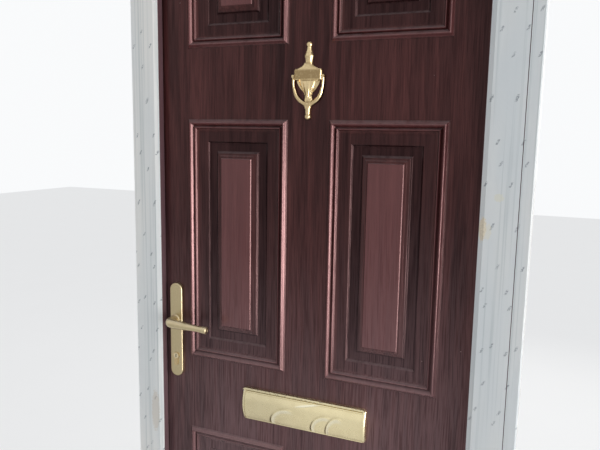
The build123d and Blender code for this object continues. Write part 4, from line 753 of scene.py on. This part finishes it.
@dataclass(frozen=True)
class FilmedGold(GoldPlate):
    """Gold letter plate under clear film that has lifted in arches. Painted highlights lie on the arches'
    crests, the crease and the ends, and painted shade on the arches' feet and towards the left.

    Each arch is the (X, Z) of its middle, its half width and its height. The flap's curve is the (Y, Z) of
    its axis and a radius between its two faces. The crease is the (X, Z) of its middle and its slope.
    """

    arches: tuple[tuple[float, float, float, float], ...] = (
        (-0.034, 0.867, 0.043, 0.040), (0.060, 0.869, 0.037, 0.039), (0.088, 0.866, 0.030, 0.044),
    )
    arch_right: Span = (0.45, -0.15)
    ridge: Band = ((1.08, 0.97), (0.95, 0.74))
    # painted shade along each arch's outer foot
    foot: Band = ((1.14, 1.06), (1.02, 0.96))
    foot_shade_strength: float = 0.30
    # painted highlight along each arch's crest
    crest_highlight: Band = ((0.99, 0.93), (0.86, 0.72))
    crest_highlight_strength: float = 0.55
    lift: float = 3.0 * MM
    crease: Point = (0.016, 0.92534, 0.24)
    crease_length: Span = (40 * MM, 12 * MM)
    crease_width: Span = (3.5 * MM, 0.8 * MM)
    crease_strength: float = 1.0
    crease_lift: float = 0.3
    # strength of the painted highlight along the crease
    crease_highlight: float = 0.8
    lip_z: Span = (0.9352, 0.9375)
    lip_scale: float = 190.0
    lip_band: Span = (0.55, 0.66)
    lip_strength: float = 0.8
    # painted highlight on the plate's rounded ends
    rim_highlight_x: Span = (0.1462, 0.1478)
    rim_highlight_strength: float = 0.2
    # painted shade towards the left end of the plate
    left_shade_x: Span = (0.06, -0.12)
    curve: Point = (0.05163, 0.901, 0.0729)
    left_shade: Colour = (0.80, 0.80, 0.82, 1.0)
    dirt: Colour = (0.22, 0.17, 0.13, 1.0)
    # painted shade and painted highlight of the folds
    fold_shade: Colour = (0.34, 0.28, 0.15, 1.0)
    fold_highlight: Colour = (0.95, 0.90, 0.70, 1.0)

    def arch(self, g: Graph, place: tuple[float, float, float, float], band: Band) -> Value:
        """Curved band along one arch.

        Args:
            g: the material being built.
            place: the arch's middle, half width and height.
            band: relative distances at which it starts and is full, from outside, then is full and ends.

        Returns:
            1 on the band and 0 off it.
        """
        rise, fall = band
        x, _, z = g.axes()
        middle_x, middle_z, wide, tall = place
        across = g.over(g.minus(x, middle_x), wide)
        distance = g.radius(across, g.over(g.minus(z, middle_z), tall))
        on_band = g.times(g.ramp(distance, *rise), g.ramp(distance, fall[1], fall[0]))
        return g.times(on_band, g.ramp(across, *self.arch_right), self.outer_side(g))

    def outer_side(self, g: Graph) -> Value:
        """1 on the flap's curved outer face and 0 on its back."""
        _, y, z = g.axes()
        axis_y, axis_z, between = self.curve
        return g.above(g.radius(g.minus(y, axis_y), g.minus(z, axis_z)), between)

    def wrinkle(self, g: Graph) -> Value:
        """Long low crease above the arches."""
        x, _, z = g.axes()
        middle_x, middle_z, slope = self.crease
        off_line = g.away(g.minus(g.minus(z, middle_z - slope * middle_x), g.times(x, slope)))
        length = g.ramp(g.away(x, middle_x), *self.crease_length)
        width = g.ramp(off_line, *self.crease_width)
        return g.times(width, length, self.crease_strength, self.outer_side(g))

    def relief(self, g: Graph) -> list[tuple[Value, float]]:
        """Arched ridges of lifted film and the crease above them."""
        total = g.times(self.wrinkle(g), self.crease_lift)
        for place in self.arches:
            total = g.larger(total, self.arch(g, place, self.ridge))
        return [(total, self.lift)]

    def shade(self, g: Graph, colour: Value) -> Value:
        """Painted shade on each arch's outer foot and towards the left, painted highlight on each crest, the
        crease and the rim, and dirt under the lip.
        """
        x, _, z = g.axes()
        # painted shade darkens the left part
        colour = g.mix(g.ramp(x, *self.left_shade_x), colour, self.left_shade, "MULTIPLY")
        for place in self.arches:
            # painted shade on the foot and painted highlight on the crest
            foot = g.times(self.arch(g, place, self.foot), self.foot_shade_strength)
            crest_highlight = g.times(self.arch(g, place, self.crest_highlight), self.crest_highlight_strength)
            colour = g.mix(crest_highlight, g.mix(foot, colour, self.fold_shade), self.fold_highlight)
        # painted highlight along the crease
        colour = g.mix(g.times(self.wrinkle(g), self.crease_highlight), colour, self.fold_highlight)
        crumbs = g.blotches(self.lip_scale, 3.0, self.lip_band, (1.0, 1.0, 2.0))
        dirty = g.times(g.ramp(z, *self.lip_z), crumbs, self.lip_strength)
        # painted highlight on the ends
        rim = g.ramp(g.away(x), *self.rim_highlight_x, 0.0, self.rim_highlight_strength)
        return g.mix(rim, g.mix(dirty, colour, self.dirt), self.fold_highlight)


@dataclass(frozen=True)
class FlutedGold(GoldPlate):
    """Gold knocker with upright flutes on its bowl. Each height is a Z."""

    bowl: Span = (1.603, 1.641)
    foot: float = 1.604
    shield_top: Span = (1.668, 1.660)
    shield_edge: float = 2 * MM
    least: float = 0.25
    flute_start: float = 6 * MM
    flute_end: float = 3 * MM
    flutes: float = 780.0
    flute_depth: float = 0.6 * MM
    spread: Span = (0.35, 26.0)

    def dark_reflection_extent(self, g: Graph) -> Value:
        """The painted dark reflection: full on the shield above the bowl and weaker elsewhere."""
        z = g.axes()[2]
        high = self.bowl[1]
        shield = g.times(g.ramp(z, high - self.shield_edge, high), g.ramp(z, *self.shield_top))
        return g.larger(shield, self.least)

    def relief(self, g: Graph) -> list[tuple[Value, float]]:
        """Flutes that fan out from the bowl's foot."""
        x, _, z = g.axes()
        low, high = self.bowl
        width = g.plus(self.spread[0], g.times(g.minus(z, self.foot), self.spread[1]))
        wave = g.math("SINE", g.times(g.over(x, width), self.flutes))
        above_foot = g.ramp(z, low, low + self.flute_start)
        below_rim = g.ramp(z, high - self.flute_end, high, 1.0, 0.0)
        return [(g.times(wave, above_foot, below_rim), self.flute_depth)]


@dataclass(frozen=True)
class Plain:
    """Even material with a fine texture, clouds of tone and its own gloss."""

    name: str
    base: Colour
    varied: Colour
    roughness: float
    metallic: float = 0.0
    scale: Point = (60.0, 60.0, 60.0)
    relief: float = 0.03 * MM
    texture_band: Span = (0.3, 0.7)
    cloud_scale: float = 7.0
    cloud_band: Span = (0.2, 0.7)
    texture_roughness: float = 0.12

    def material(self) -> bpy.types.Material:
        """Build the node material."""
        g = Graph.new(self.name)
        texture = g.noise(g.coords(self.scale), 1.0, 5.0, 0.6)
        cloud = g.blotches(self.cloud_scale, 3.0, self.cloud_band)
        tone = g.times(g.ramp(texture, *self.texture_band), cloud)
        colour = g.mix(tone, self.base, self.varied)
        rough = g.plus(self.roughness, g.times(texture, self.texture_roughness), clamp=True)
        g.bump((texture, self.relief))
        return g.surface(colour=colour, roughness=rough, metallic=self.metallic)


@dataclass(frozen=True)
class TwoSidedFrame:
    """Frame plastic: woodgrain foil outside, smooth white past a given Y or X."""

    name: str
    foil: WoodgrainFoil
    white: Colour
    change_y: float
    change_x: float
    white_cloud: Colour = (0.70, 0.70, 0.68, 1.0)
    cloud_scale: float = 9.0
    white_shine: float = 0.35

    def material(self) -> bpy.types.Material:
        """Build the foil's nodes and swap them for white past the change."""
        material = self.foil.material()
        material.name = self.name
        g = Graph(material)
        x, y, _ = g.axes()
        inside = g.larger(g.above(y, self.change_y), g.above(x, self.change_x))
        white = g.mix(g.noise(g.coords(), self.cloud_scale, 3.0), self.white, self.white_cloud)
        shine = g.times(g.held("specular"), g.ramp(inside, 0.0, 1.0, 1.0, self.white_shine))
        return g.surface(colour=g.mix(inside, g.held("colour"), white), specular=shine)


FOIL = WoodgrainFoil("woodgrain_skin", dark=rgb(0.011, 0.004, 0.0045), light=rgb(0.084, 0.023, 0.021),
                     dust=rgb(0.33, 0.24, 0.24), gloss=0.20)
FRAME_FOIL = WoodgrainFoil("woodgrain_frame", dark=rgb(0.060, 0.042, 0.052), light=rgb(0.125, 0.090, 0.105),
                           dust=rgb(0.34, 0.29, 0.29), gloss=0.34, sheen=rgb(1.0, 0.86, 0.92))
FILM = ProtectiveFilm("protective_film_finish", base=rgb(0.86, 0.86, 0.83), cool=rgb(0.77, 0.80, 0.80),
                      mark=rgb(0.17, 0.20, 0.23))
# face: strength of each finish's painted dark reflection on its broad front faces
SATIN_GOLD = GoldPlate("satin_gold_finish", bright=rgb(0.56, 0.46, 0.29), dull_and_dark_reflection=rgb(0.39, 0.325, 0.185),
                       roughness=0.28, brushed=0.04 * MM, face=0.6)
LETTER_GOLD = FilmedGold("letter_gold_finish", bright=rgb(0.84, 0.73, 0.45), dull_and_dark_reflection=rgb(0.76, 0.65, 0.39),
                         roughness=0.24, brushed=0.01 * MM)
PLATE_GOLD = replace(LETTER_GOLD, name="letter_plate_finish", arches=(), crease_strength=0.0)
KNOCKER_GOLD = GoldPlate("polished_gold_finish", bright=rgb(0.74, 0.58, 0.33), dull_and_dark_reflection=rgb(0.25, 0.17, 0.08),
                         roughness=0.27, brushed=0.01 * MM, face=0.5)
URN_GOLD = FlutedGold("urn_gold_finish", bright=KNOCKER_GOLD.bright, dull_and_dark_reflection=KNOCKER_GOLD.dull_and_dark_reflection,
                      roughness=KNOCKER_GOLD.roughness, brushed=KNOCKER_GOLD.brushed, face=0.9)
PLUG_GOLD = KeyedGold("plug_gold_finish", bright=rgb(0.70, 0.60, 0.40), dull_and_dark_reflection=rgb(0.52, 0.43, 0.26),
                      roughness=0.25, brushed=0.04 * MM, face=0.3)
ZINC = Plain("zinc_steel_finish", base=rgb(0.55, 0.56, 0.57), varied=rgb(0.42, 0.43, 0.44), roughness=0.32,
             metallic=1.0, scale=(200.0, 200.0, 20.0))
DARK_STEEL = Plain("galvanised_finish", base=rgb(0.30, 0.31, 0.32), varied=rgb(0.42, 0.43, 0.44),
                   roughness=0.45, metallic=1.0)
SEAL = Plain("black_seal_finish", base=rgb(0.010, 0.010, 0.010), varied=rgb(0.022, 0.022, 0.023),
             roughness=0.62)
WHITE_SKIN = Plain("white_skin_finish", base=rgb(0.74, 0.74, 0.72), varied=rgb(0.68, 0.68, 0.66),
                   roughness=0.42, scale=(90.0, 90.0, 6.0), relief=0.06 * MM)
WHITE_PAINT = Plain("white_paint_finish", base=rgb(0.72, 0.72, 0.70), varied=rgb(0.66, 0.66, 0.64),
                    roughness=0.38, scale=(500.0, 500.0, 500.0))
TIMBER = Plain("timber_finish", base=rgb(0.46, 0.30, 0.16), varied=rgb(0.34, 0.20, 0.10), roughness=0.6,
               scale=(140.0, 140.0, 4.0), relief=0.1 * MM)
FOAM = Plain("foam_finish", base=rgb(0.72, 0.60, 0.34), varied=rgb(0.62, 0.50, 0.27), roughness=0.85,
             scale=(700.0, 700.0, 700.0), relief=0.3 * MM)


@dataclass
class DoorLeaf:
    """Moulded skins of the leaf.

    Each row of panels is the Z of its bottom and its height. The moulding is pairs of a distance from the
    panel's edge and a height over the leaf's face, in millimetres.
    """

    mullion: float = 94 * MM
    panel_width: float = 250 * MM
    panels: tuple[Span, ...] = ((0.270, 0.54025), (0.99175, 0.56825), (1.7165, 0.235))
    moulding: tuple[Span, ...] = (
        (0, 0), (3.6, 3.6), (8.0, 9.0), (11.6, 5.2), (15.0, 0.6), (18.4, 4.0), (22.6, -0.6), (30.0, -3.0),
        (49.0, -3.2), (52.5, -7.0), (57.0, -8.5), (70.0, -8.5), (76.6, -2.2), (78.5, -1.6), (85.0, 1.6),
        (86.5, 1.8), (88.2, 3.7), (90.0, 4.0),
    )
    moulding_step: float = 1.4
    skin: float = 2 * MM
    inset_edge: float = 0.15 * MM
    slot_half: Span = (128.3 * MM, 21.3 * MM)
    slot_height: float = 901 * MM

    def in_panel(self, x: float, z: float) -> bool:
        """Whether a place on the face lies in one of the six panels."""
        across = self.mullion / 2 < abs(x) < self.mullion / 2 + self.panel_width
        return across and any(low < z < low + tall for low, tall in self.panels)

    def sheet(self, name: str, side: Side) -> bpy.types.Object:
        """Flat sheet over one face of the leaf, a little inside its edges."""
        low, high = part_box("lock_stile")
        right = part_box("hinge_stile")[1][0]
        face = low[1] - self.skin if side is Side.OUTSIDE else high[1] + self.skin
        bpy.ops.mesh.primitive_plane_add(
            size=1.0, location=((low[0] + right) / 2, face, (low[2] + high[2]) / 2),
            rotation=(-side.value * math.pi / 2, 0, 0))
        obj = bpy.context.object
        obj.scale = (right - low[0] - 2 * self.inset_edge, high[2] - low[2] - 2 * self.inset_edge, 1)
        return named(obj, name)

    def divide(self) -> None:
        """Cut the edited sheet along the edges of the panels."""
        inner = self.mullion / 2
        outer = inner + self.panel_width
        cuts = [((x, 0, 0), (1, 0, 0)) for x in (-outer, -inner, inner, outer)]
        cuts += [((0, 0, z), (0, 0, 1)) for low, tall in self.panels for z in (low, low + tall)]
        for place, normal in cuts:
            bpy.ops.mesh.select_all(action="SELECT")
            bpy.ops.mesh.bisect(plane_co=place, plane_no=normal)

    def moulded_skin(self, name: str, node: str, side: Side) -> bpy.types.Object:
        """One skin: a sheet divided into panels, moulded by insets, slotted and given its thickness.

        Args:
            name: name of the piece.
            node: CAD node that it stands for.
            side: which face of the leaf it covers.

        Returns:
            The finished skin.
        """
        obj = self.sheet(name, side)
        with shaping(obj):
            self.divide()
            pick(obj, "faces", lambda f: self.in_panel(f.calc_center_median().x, f.calc_center_median().z))
            profile = smooth_profile(self.moulding, self.moulding_step)
            for (x0, h0), (x1, h1) in zip(profile, profile[1:]):
                bpy.ops.mesh.inset(thickness=(x1 - x0) * MM, depth=(h1 - h0) * MM, use_even_offset=True)
            self.cut_slot(obj)
        apply_modifier(obj, "SOLIDIFY", thickness=self.skin, offset=-1.0, use_even_offset=True)
        smooth(obj)
        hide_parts(node)
        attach(obj, "door")
        return obj

    def cut_slot(self, obj: bpy.types.Object) -> None:
        """Open the letter slot in the rail between the lower and the middle panels."""
        bottom = sum(self.panels[0])
        top = self.panels[1][0]

        def on_rail(face: bmesh.types.BMFace) -> bool:
            """Whether a face lies flat on the letter rail."""
            return bottom < face.calc_center_median().z < top and abs(face.normal.y) > FLAT

        half_x, half_z = self.slot_half
        for x in (-half_x, half_x):
            pick(obj, "faces", on_rail)
            bpy.ops.mesh.bisect(plane_co=(x, 0, 0), plane_no=(1, 0, 0))
        for z in (self.slot_height - half_z, self.slot_height + half_z):
            pick(obj, "faces", on_rail)
            bpy.ops.mesh.bisect(plane_co=(0, 0, z), plane_no=(0, 0, 1))
        pick(obj, "faces", lambda f: abs(f.calc_center_median().x) < half_x
             and abs(f.calc_center_median().z - self.slot_height) < half_z)
        bpy.ops.mesh.delete(type="FACE")

    def build(self) -> None:
        """Model and dress both skins."""
        outer = self.moulded_skin("outer_skin_moulded", "leaf_outer_skin", Side.OUTSIDE)
        outer.data.materials.append(FOIL.material())
        inner = self.moulded_skin("inner_skin_moulded", "leaf_inner_skin", Side.INSIDE)
        inner.data.materials.append(WHITE_SKIN.material())
        log.info("leaf skins: %d and %d faces", len(outer.data.polygons), len(inner.data.polygons))


@dataclass
class LetterPlate:
    """Outside letter plate: a slotted base with rounded corners, curved cheeks and a lip over the flap."""

    base: float = 3 * MM
    slot_half: Span = (126.5 * MM, 19.5 * MM)
    cheek: float = 7 * MM
    cheek_round: float = 4.8 * MM
    cheek_sides: int = 256
    cheek_steps: int = 6
    lip: Span = (6.5 * MM, 4.4 * MM)
    lip_round: float = 1.5 * MM
    lip_steps: int = 3
    corner: float = 8 * MM
    corner_steps: int = 8
    trim: float = 0.05 * MM
    overlap: float = 0.3 * MM

    def end_cheek(self, side: int, low: Point, high: Point) -> bpy.types.Object:
        """Curved end of the plate, rounded on its outer side.

        Args:
            side: -1 for the left end and 1 for the right one.
            low: lowest corner of the whole plate.
            high: highest corner of the whole plate.

        Returns:
            The cheek, which reaches a little into the base.
        """
        base_front = high[1] - self.base
        bulge = base_front - low[1]
        half = (high[2] - low[2]) / 2
        radius = (half ** 2 + bulge ** 2) / (2 * bulge)
        middle = (low[2] + high[2]) / 2
        bpy.ops.mesh.primitive_cylinder_add(
            vertices=self.cheek_sides, radius=radius, depth=self.cheek, rotation=(0, math.pi / 2, 0),
            location=(side * (high[0] - self.cheek / 2), low[1] + radius, middle))
        cheek = named(bpy.context.object, "cheek")
        outer = high[0] - HAIR
        rounded(cheek, self.cheek_round, self.cheek_steps,
                lambda e: all(v.co.x * side > outer for v in e.verts))
        window = box("window", (low[0] - PAST, low[1] - PAST, low[2]),
                     (high[0] + PAST, base_front + self.overlap, high[2]))
        combine(cheek, window, "INTERSECT")
        return cheek

    def build(self) -> None:
        """Model and dress the plate."""
        low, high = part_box("letter_plate")
        base_front = high[1] - self.base
        middle = (low[2] + high[2]) / 2
        plate = box("letter_plate_rounded", (low[0], base_front, low[2]), high)
        slot_x, slot_z = self.slot_half
        slot = box("slot", (-slot_x, base_front - PAST, middle - slot_z),
                   (slot_x, high[1] + PAST, middle + slot_z))
        combine(plate, slot, "DIFFERENCE")
        deep, tall = self.lip
        lip = box("lip", (low[0], base_front - deep, high[2] - tall),
                  (high[0], base_front + self.overlap, high[2]))
        front, top = base_front - deep + HAIR, high[2] - HAIR
        rounded(lip, self.lip_round, self.lip_steps,
                lambda e: all(v.co.y < front and v.co.z > top for v in e.verts))
        combine(plate, lip, "UNION")
        for side in (-1, 1):
            combine(plate, self.end_cheek(side, low, high), "UNION")
        prism = box("prism", (low[0] + self.trim, low[1] - PAST, low[2] + self.trim),
                    (high[0] - self.trim, high[1] + PAST, high[2] - self.trim))
        rounded(prism, self.corner, self.corner_steps,
                lambda e: abs(e.verts[0].co.y - e.verts[1].co.y) > HAIR)
        combine(plate, prism, "INTERSECT")
        smooth(plate)
        plate.data.materials.clear()
        plate.data.materials.append(PLATE_GOLD.material())
        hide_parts("letter_plate")
        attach(plate, "door")
        log.info("letter plate: %d faces", len(plate.data.polygons))


@dataclass(frozen=True)
class Screw:
    """Sizes of one pan-headed screw, with a cross recess as wide, deep and long as its three sizes say."""

    head_radius: float
    head_height: float
    shank_radius: float
    shank_length: float
    rim: float = 0.7 * MM
    rim_steps: int = 3
    recess: Point = (0.9 * MM, 1.0 * MM, 3.6 * MM)
    head_sides: int = 24
    shank_sides: int = 16


@dataclass
class ScrewRow:
    """Screws of one kind, driven into the inside face. The seat is a Y, and each place an (X, Z)."""

    name: str
    node: str
    body: str
    screw: Screw
    seat: float
    places: Sequence[Span]
    slot: str = "zinc_steel"

    def one(self) -> bpy.types.Object:
        """Model the screw at the first place."""
        x, z = self.places[0]
        screw = self.screw
        top = self.seat + screw.head_height
        bpy.ops.mesh.primitive_cylinder_add(
            vertices=screw.head_sides, radius=screw.head_radius, depth=screw.head_height,
            location=(x, self.seat + screw.head_height / 2, z), rotation=(math.pi / 2, 0, 0))
        head = named(bpy.context.object, self.name)
        rounded(head, screw.rim, screw.rim_steps, lambda e: all(v.co.y > top - HAIR for v in e.verts))
        wide, deep, tall = screw.recess
        for half_x, half_z in ((wide / 2, tall / 2), (tall / 2, wide / 2)):
            cutter = box("recess", (x - half_x, top - deep, z - half_z),
                         (x + half_x, top + deep, z + half_z))
            combine(head, cutter, "DIFFERENCE")
        bpy.ops.mesh.primitive_cylinder_add(
            vertices=screw.shank_sides, radius=screw.shank_radius, depth=screw.shank_length,
            location=(x, self.seat - screw.shank_length / 2, z), rotation=(math.pi / 2, 0, 0))
        return joined(self.name, head, bpy.context.object)

    def build(self) -> None:
        """Model the screw, copy it to every place and dress the row."""
        first = self.one()
        row = [first]
        x0, z0 = self.places[0]
        for x, z in self.places[1:]:
            select_only(first)
            bpy.ops.object.duplicate()
            copy = bpy.context.object
            copy.location = (x - x0, 0, z - z0)
            row.append(copy)
        obj = joined(self.name, *row)
        smooth(obj)
        obj.data.materials.append(ZINC.material())
        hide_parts(self.node)
        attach(obj, self.body)
        log.info("%s: %d screws", self.name, len(row))


@dataclass
class Fasteners:
    """The rows of screws that show on the inside. Heights are Z, and seats are Y."""

    hinge_heights: tuple[float, ...] = (0.300, 1.060, 1.840)
    hinge_step: float = 34 * MM
    hinge_seat: float = 39 * MM
    leaf_x: float = 343.9 * MM
    frame_x: float = 411.7 * MM
    leaf_screw: Screw = Screw(4 * MM, 1.8 * MM, 2.2 * MM, 24 * MM)
    frame_screw: Screw = Screw(4 * MM, 1.8 * MM, 2.2 * MM, 14 * MM)
    backplate_x: float = -333 * MM
    backplate_heights: Span = (0.946, 1.161)
    backplate_seat: float = 44 * MM
    backplate_bolt: Screw = Screw(4.3 * MM, 2.2 * MM, 2.5 * MM, 58.4 * MM)
    letter_x: float = 139 * MM
    letter_height: float = 0.901
    letter_seat: float = 38 * MM
    letter_bolt: Screw = Screw(3.5 * MM, 1.8 * MM, 2.0 * MM, 49 * MM)

    def rows(self) -> list[ScrewRow]:
        """One row for each CAD node of screws or bolts."""
        heights = [z + step for z in self.hinge_heights for step in (-self.hinge_step, self.hinge_step)]
        return [
            ScrewRow("hinge_door_screws_crossed", "hinge_door_screws", "door", self.leaf_screw,
                     self.hinge_seat, [(self.leaf_x, z) for z in heights]),
            ScrewRow("hinge_frame_screws_crossed", "hinge_frame_screws", "frame", self.frame_screw,
                     self.hinge_seat, [(self.frame_x, z) for z in heights]),
            ScrewRow("backplate_bolts_crossed", "backplate_bolts", "door", self.backplate_bolt,
                     self.backplate_seat, [(self.backplate_x, z) for z in self.backplate_heights]),
            ScrewRow("letter_bolts_crossed", "letter_bolts", "door", self.letter_bolt,
                     self.letter_seat, [(x, self.letter_height) for x in (-self.letter_x, self.letter_x)]),
        ]

    def build(self) -> None:
        """Model every row."""
        for row in self.rows():
            row.build()


@dataclass
class CarriedNodes:
    """Finishes of the CAD nodes that keep their own shape."""

    white_past: float = -12.4 * MM
    white_edge: float = 457.8 * MM
    white: Colour = (0.76, 0.76, 0.74, 1.0)

    def finishes(self) -> dict[str, bpy.types.Material]:
        """One material for each slot of the record that such a node uses."""
        frame_finish = TwoSidedFrame("frame_finish", FRAME_FOIL, self.white, change_y=self.white_past,
                                     change_x=self.white_edge)
        by_slot = {
            "foil_frame": frame_finish, "film": FILM, "white_plastic": WHITE_SKIN, "foam": FOAM,
            "timber": TIMBER, "zinc_steel": ZINC, "dark_steel": DARK_STEEL, "seal_rubber": SEAL,
            "satin_gold": SATIN_GOLD, "polished_gold": KNOCKER_GOLD, "hinge_white": WHITE_PAINT,
            "foil_skin": FOIL,
        }
        return {slot: finish.material() for slot, finish in by_slot.items()}

    def build(self) -> None:
        """Dress every node by its slot in the record, or in its own finish."""
        finishes = self.finishes()
        own = {"outer_flap": LETTER_GOLD.material(), "knocker_plate": URN_GOLD.material(),
               "cylinder_plug": PLUG_GOLD.material()}
        slots = record_slots()
        for node, obj in frame["nodes"].items():
            obj.data.materials.clear()
            obj.data.materials.append(own.get(node, finishes[slots[node]]))
        log.info("dressed %d carried nodes", len(frame["nodes"]))


@dataclass(frozen=True)
class Lamp:
    """Soft rectangular lamp, with an optional companion on the same place that only glossy surfaces show.

    The size is its width and height, and power and glint are the strengths of the two in watts.
    """

    name: str
    place: Point
    aim: Point
    size: Span
    power: float
    glint: float = 0.0
    colour: tuple[float, float, float] = (1.0, 0.98, 0.97)

    def one(self, name: str, power: float, diffuse: bool) -> None:
        """Hang one lamp.

        Args:
            name: its name.
            power: its strength in watts.
            diffuse: whether it lights surfaces, or only shows in glossy ones.
        """
        data = bpy.data.lights.new(name, "AREA")
        data.shape = "RECTANGLE"
        data.size, data.size_y = self.size
        data.energy = power
        data.color = self.colour
        obj = bpy.data.objects.new(name, data)
        obj.location = self.place
        obj.rotation_euler = (Vector(self.aim) - Vector(self.place)).to_track_quat("-Z", "Y").to_euler()
        obj.visible_diffuse = diffuse
        bpy.context.collection.objects.link(obj)

    def build(self) -> None:
        """Hang the lamp and its companion."""
        self.one(self.name, self.power, True)
        if self.glint:
            self.one(self.name + "_glint", self.glint, False)


@dataclass
class Studio:
    """Camera at the photograph's view, soft lights and a pale floor. Angles are in degrees."""

    lens: float = 36.276
    sensor: float = 36.0
    clip: Span = (0.01, 60.0)
    position: Point = (0.4845, -1.216, 1.5263)
    pitch: float = -8.39
    roll: float = -0.98
    yaw: float = 22.47
    sky_light: Colour = (0.96, 0.97, 1.0, 1.0)
    sky_strength: float = 0.60
    backdrop: Colour = (0.95, 0.96, 0.97, 1.0)
    floor_size: float = 24.0
    floor_drop: float = 0.5 * MM
    floor_tones: tuple[Colour, Colour] = (rgb(0.80, 0.80, 0.79), rgb(0.84, 0.84, 0.83))
    floor_cloud: float = 3.0
    floor_roughness: float = 0.8
    floor_glow: float = 0.62
    lamps: tuple[Lamp, ...] = (
        Lamp("yard_low", (3.49, -0.87, 0.70), (0.0, 0.0, 1.0), (1.35, 1.35), 40.0, 175.0),
        Lamp("sky_high", (3.49, -0.90, 2.55), (0.0, 0.0, 1.4), (1.35, 2.2), 22.0, 105.0),
        Lamp("room_back", (0.4, 3.0, 2.4), (0.0, 0.0, 1.35), (2.4, 2.4), 35.0, colour=(1.0, 0.98, 0.95)),
    )

    def camera(self) -> None:
        """Place the camera."""
        data = bpy.data.cameras.new("camera")
        data.lens = self.lens
        data.sensor_width = self.sensor
        data.clip_start, data.clip_end = self.clip
        obj = bpy.data.objects.new("camera", data)
        turn = Matrix.Identity(3)
        for angle, axis in ((self.yaw, "Z"), (self.pitch, "X"), (self.roll, "Y")):
            turn = turn @ Matrix.Rotation(math.radians(angle), 3, axis)
        right, forward, up = turn.col
        basis = Matrix((right, up, -forward)).transposed()
        obj.matrix_world = Matrix.Translation(self.position) @ basis.to_4x4()
        bpy.context.collection.objects.link(obj)
        bpy.context.scene.camera = obj

    def world(self) -> None:
        """Pale sky that lights softly and looks white."""
        world = bpy.data.worlds.new("studio")
        bpy.context.scene.world = world
        g = Graph(world, "Background")
        for socket, value in zip(g.shader.inputs, (self.sky_light, self.sky_strength)):
            g.feed(socket, value)
        seen = g.node("Background", {0: self.backdrop, 1: 1.0})
        g.two_looks(seen.outputs[0], g.shader.outputs[0], "World Output")

    def floor(self) -> None:
        """Pale floor that the sill stands on."""
        bpy.ops.mesh.primitive_plane_add(size=self.floor_size, location=(0, 0, -self.floor_drop))
        obj = named(bpy.context.object, "studio_floor")
        g = Graph.new("studio_floor_finish")
        tone = g.mix(g.noise(g.coords(), self.floor_cloud, 2.0), *self.floor_tones)
        material = g.surface(colour=tone, roughness=self.floor_roughness)
        glow = g.node("Emission", {"Color": self.backdrop, "Strength": 1.0})
        pale = g.node("MixShader", {0: self.floor_glow, 1: g.shader.outputs[0], 2: glow.outputs[0]})
        g.two_looks(pale.outputs[0], g.shader.outputs[0], "Material Output")
        obj.data.materials.append(material)

    def build(self) -> None:
        """Set up the whole studio."""
        self.camera()
        self.world()
        self.floor()
        for lamp in self.lamps:
            lamp.build()
        bpy.context.scene.view_settings.view_transform = "Standard"
        log.info("studio: camera and %d lamps", len(self.lamps))


def main() -> None:
    """Build the parts of the scene in order."""
    logging.basicConfig(level=logging.INFO, format="%(message)s")
    for part in (Studio(), CarriedNodes(), DoorLeaf(), LetterPlate(), Fasteners()):
        part.build()


if __name__ == "__main__":
    main()
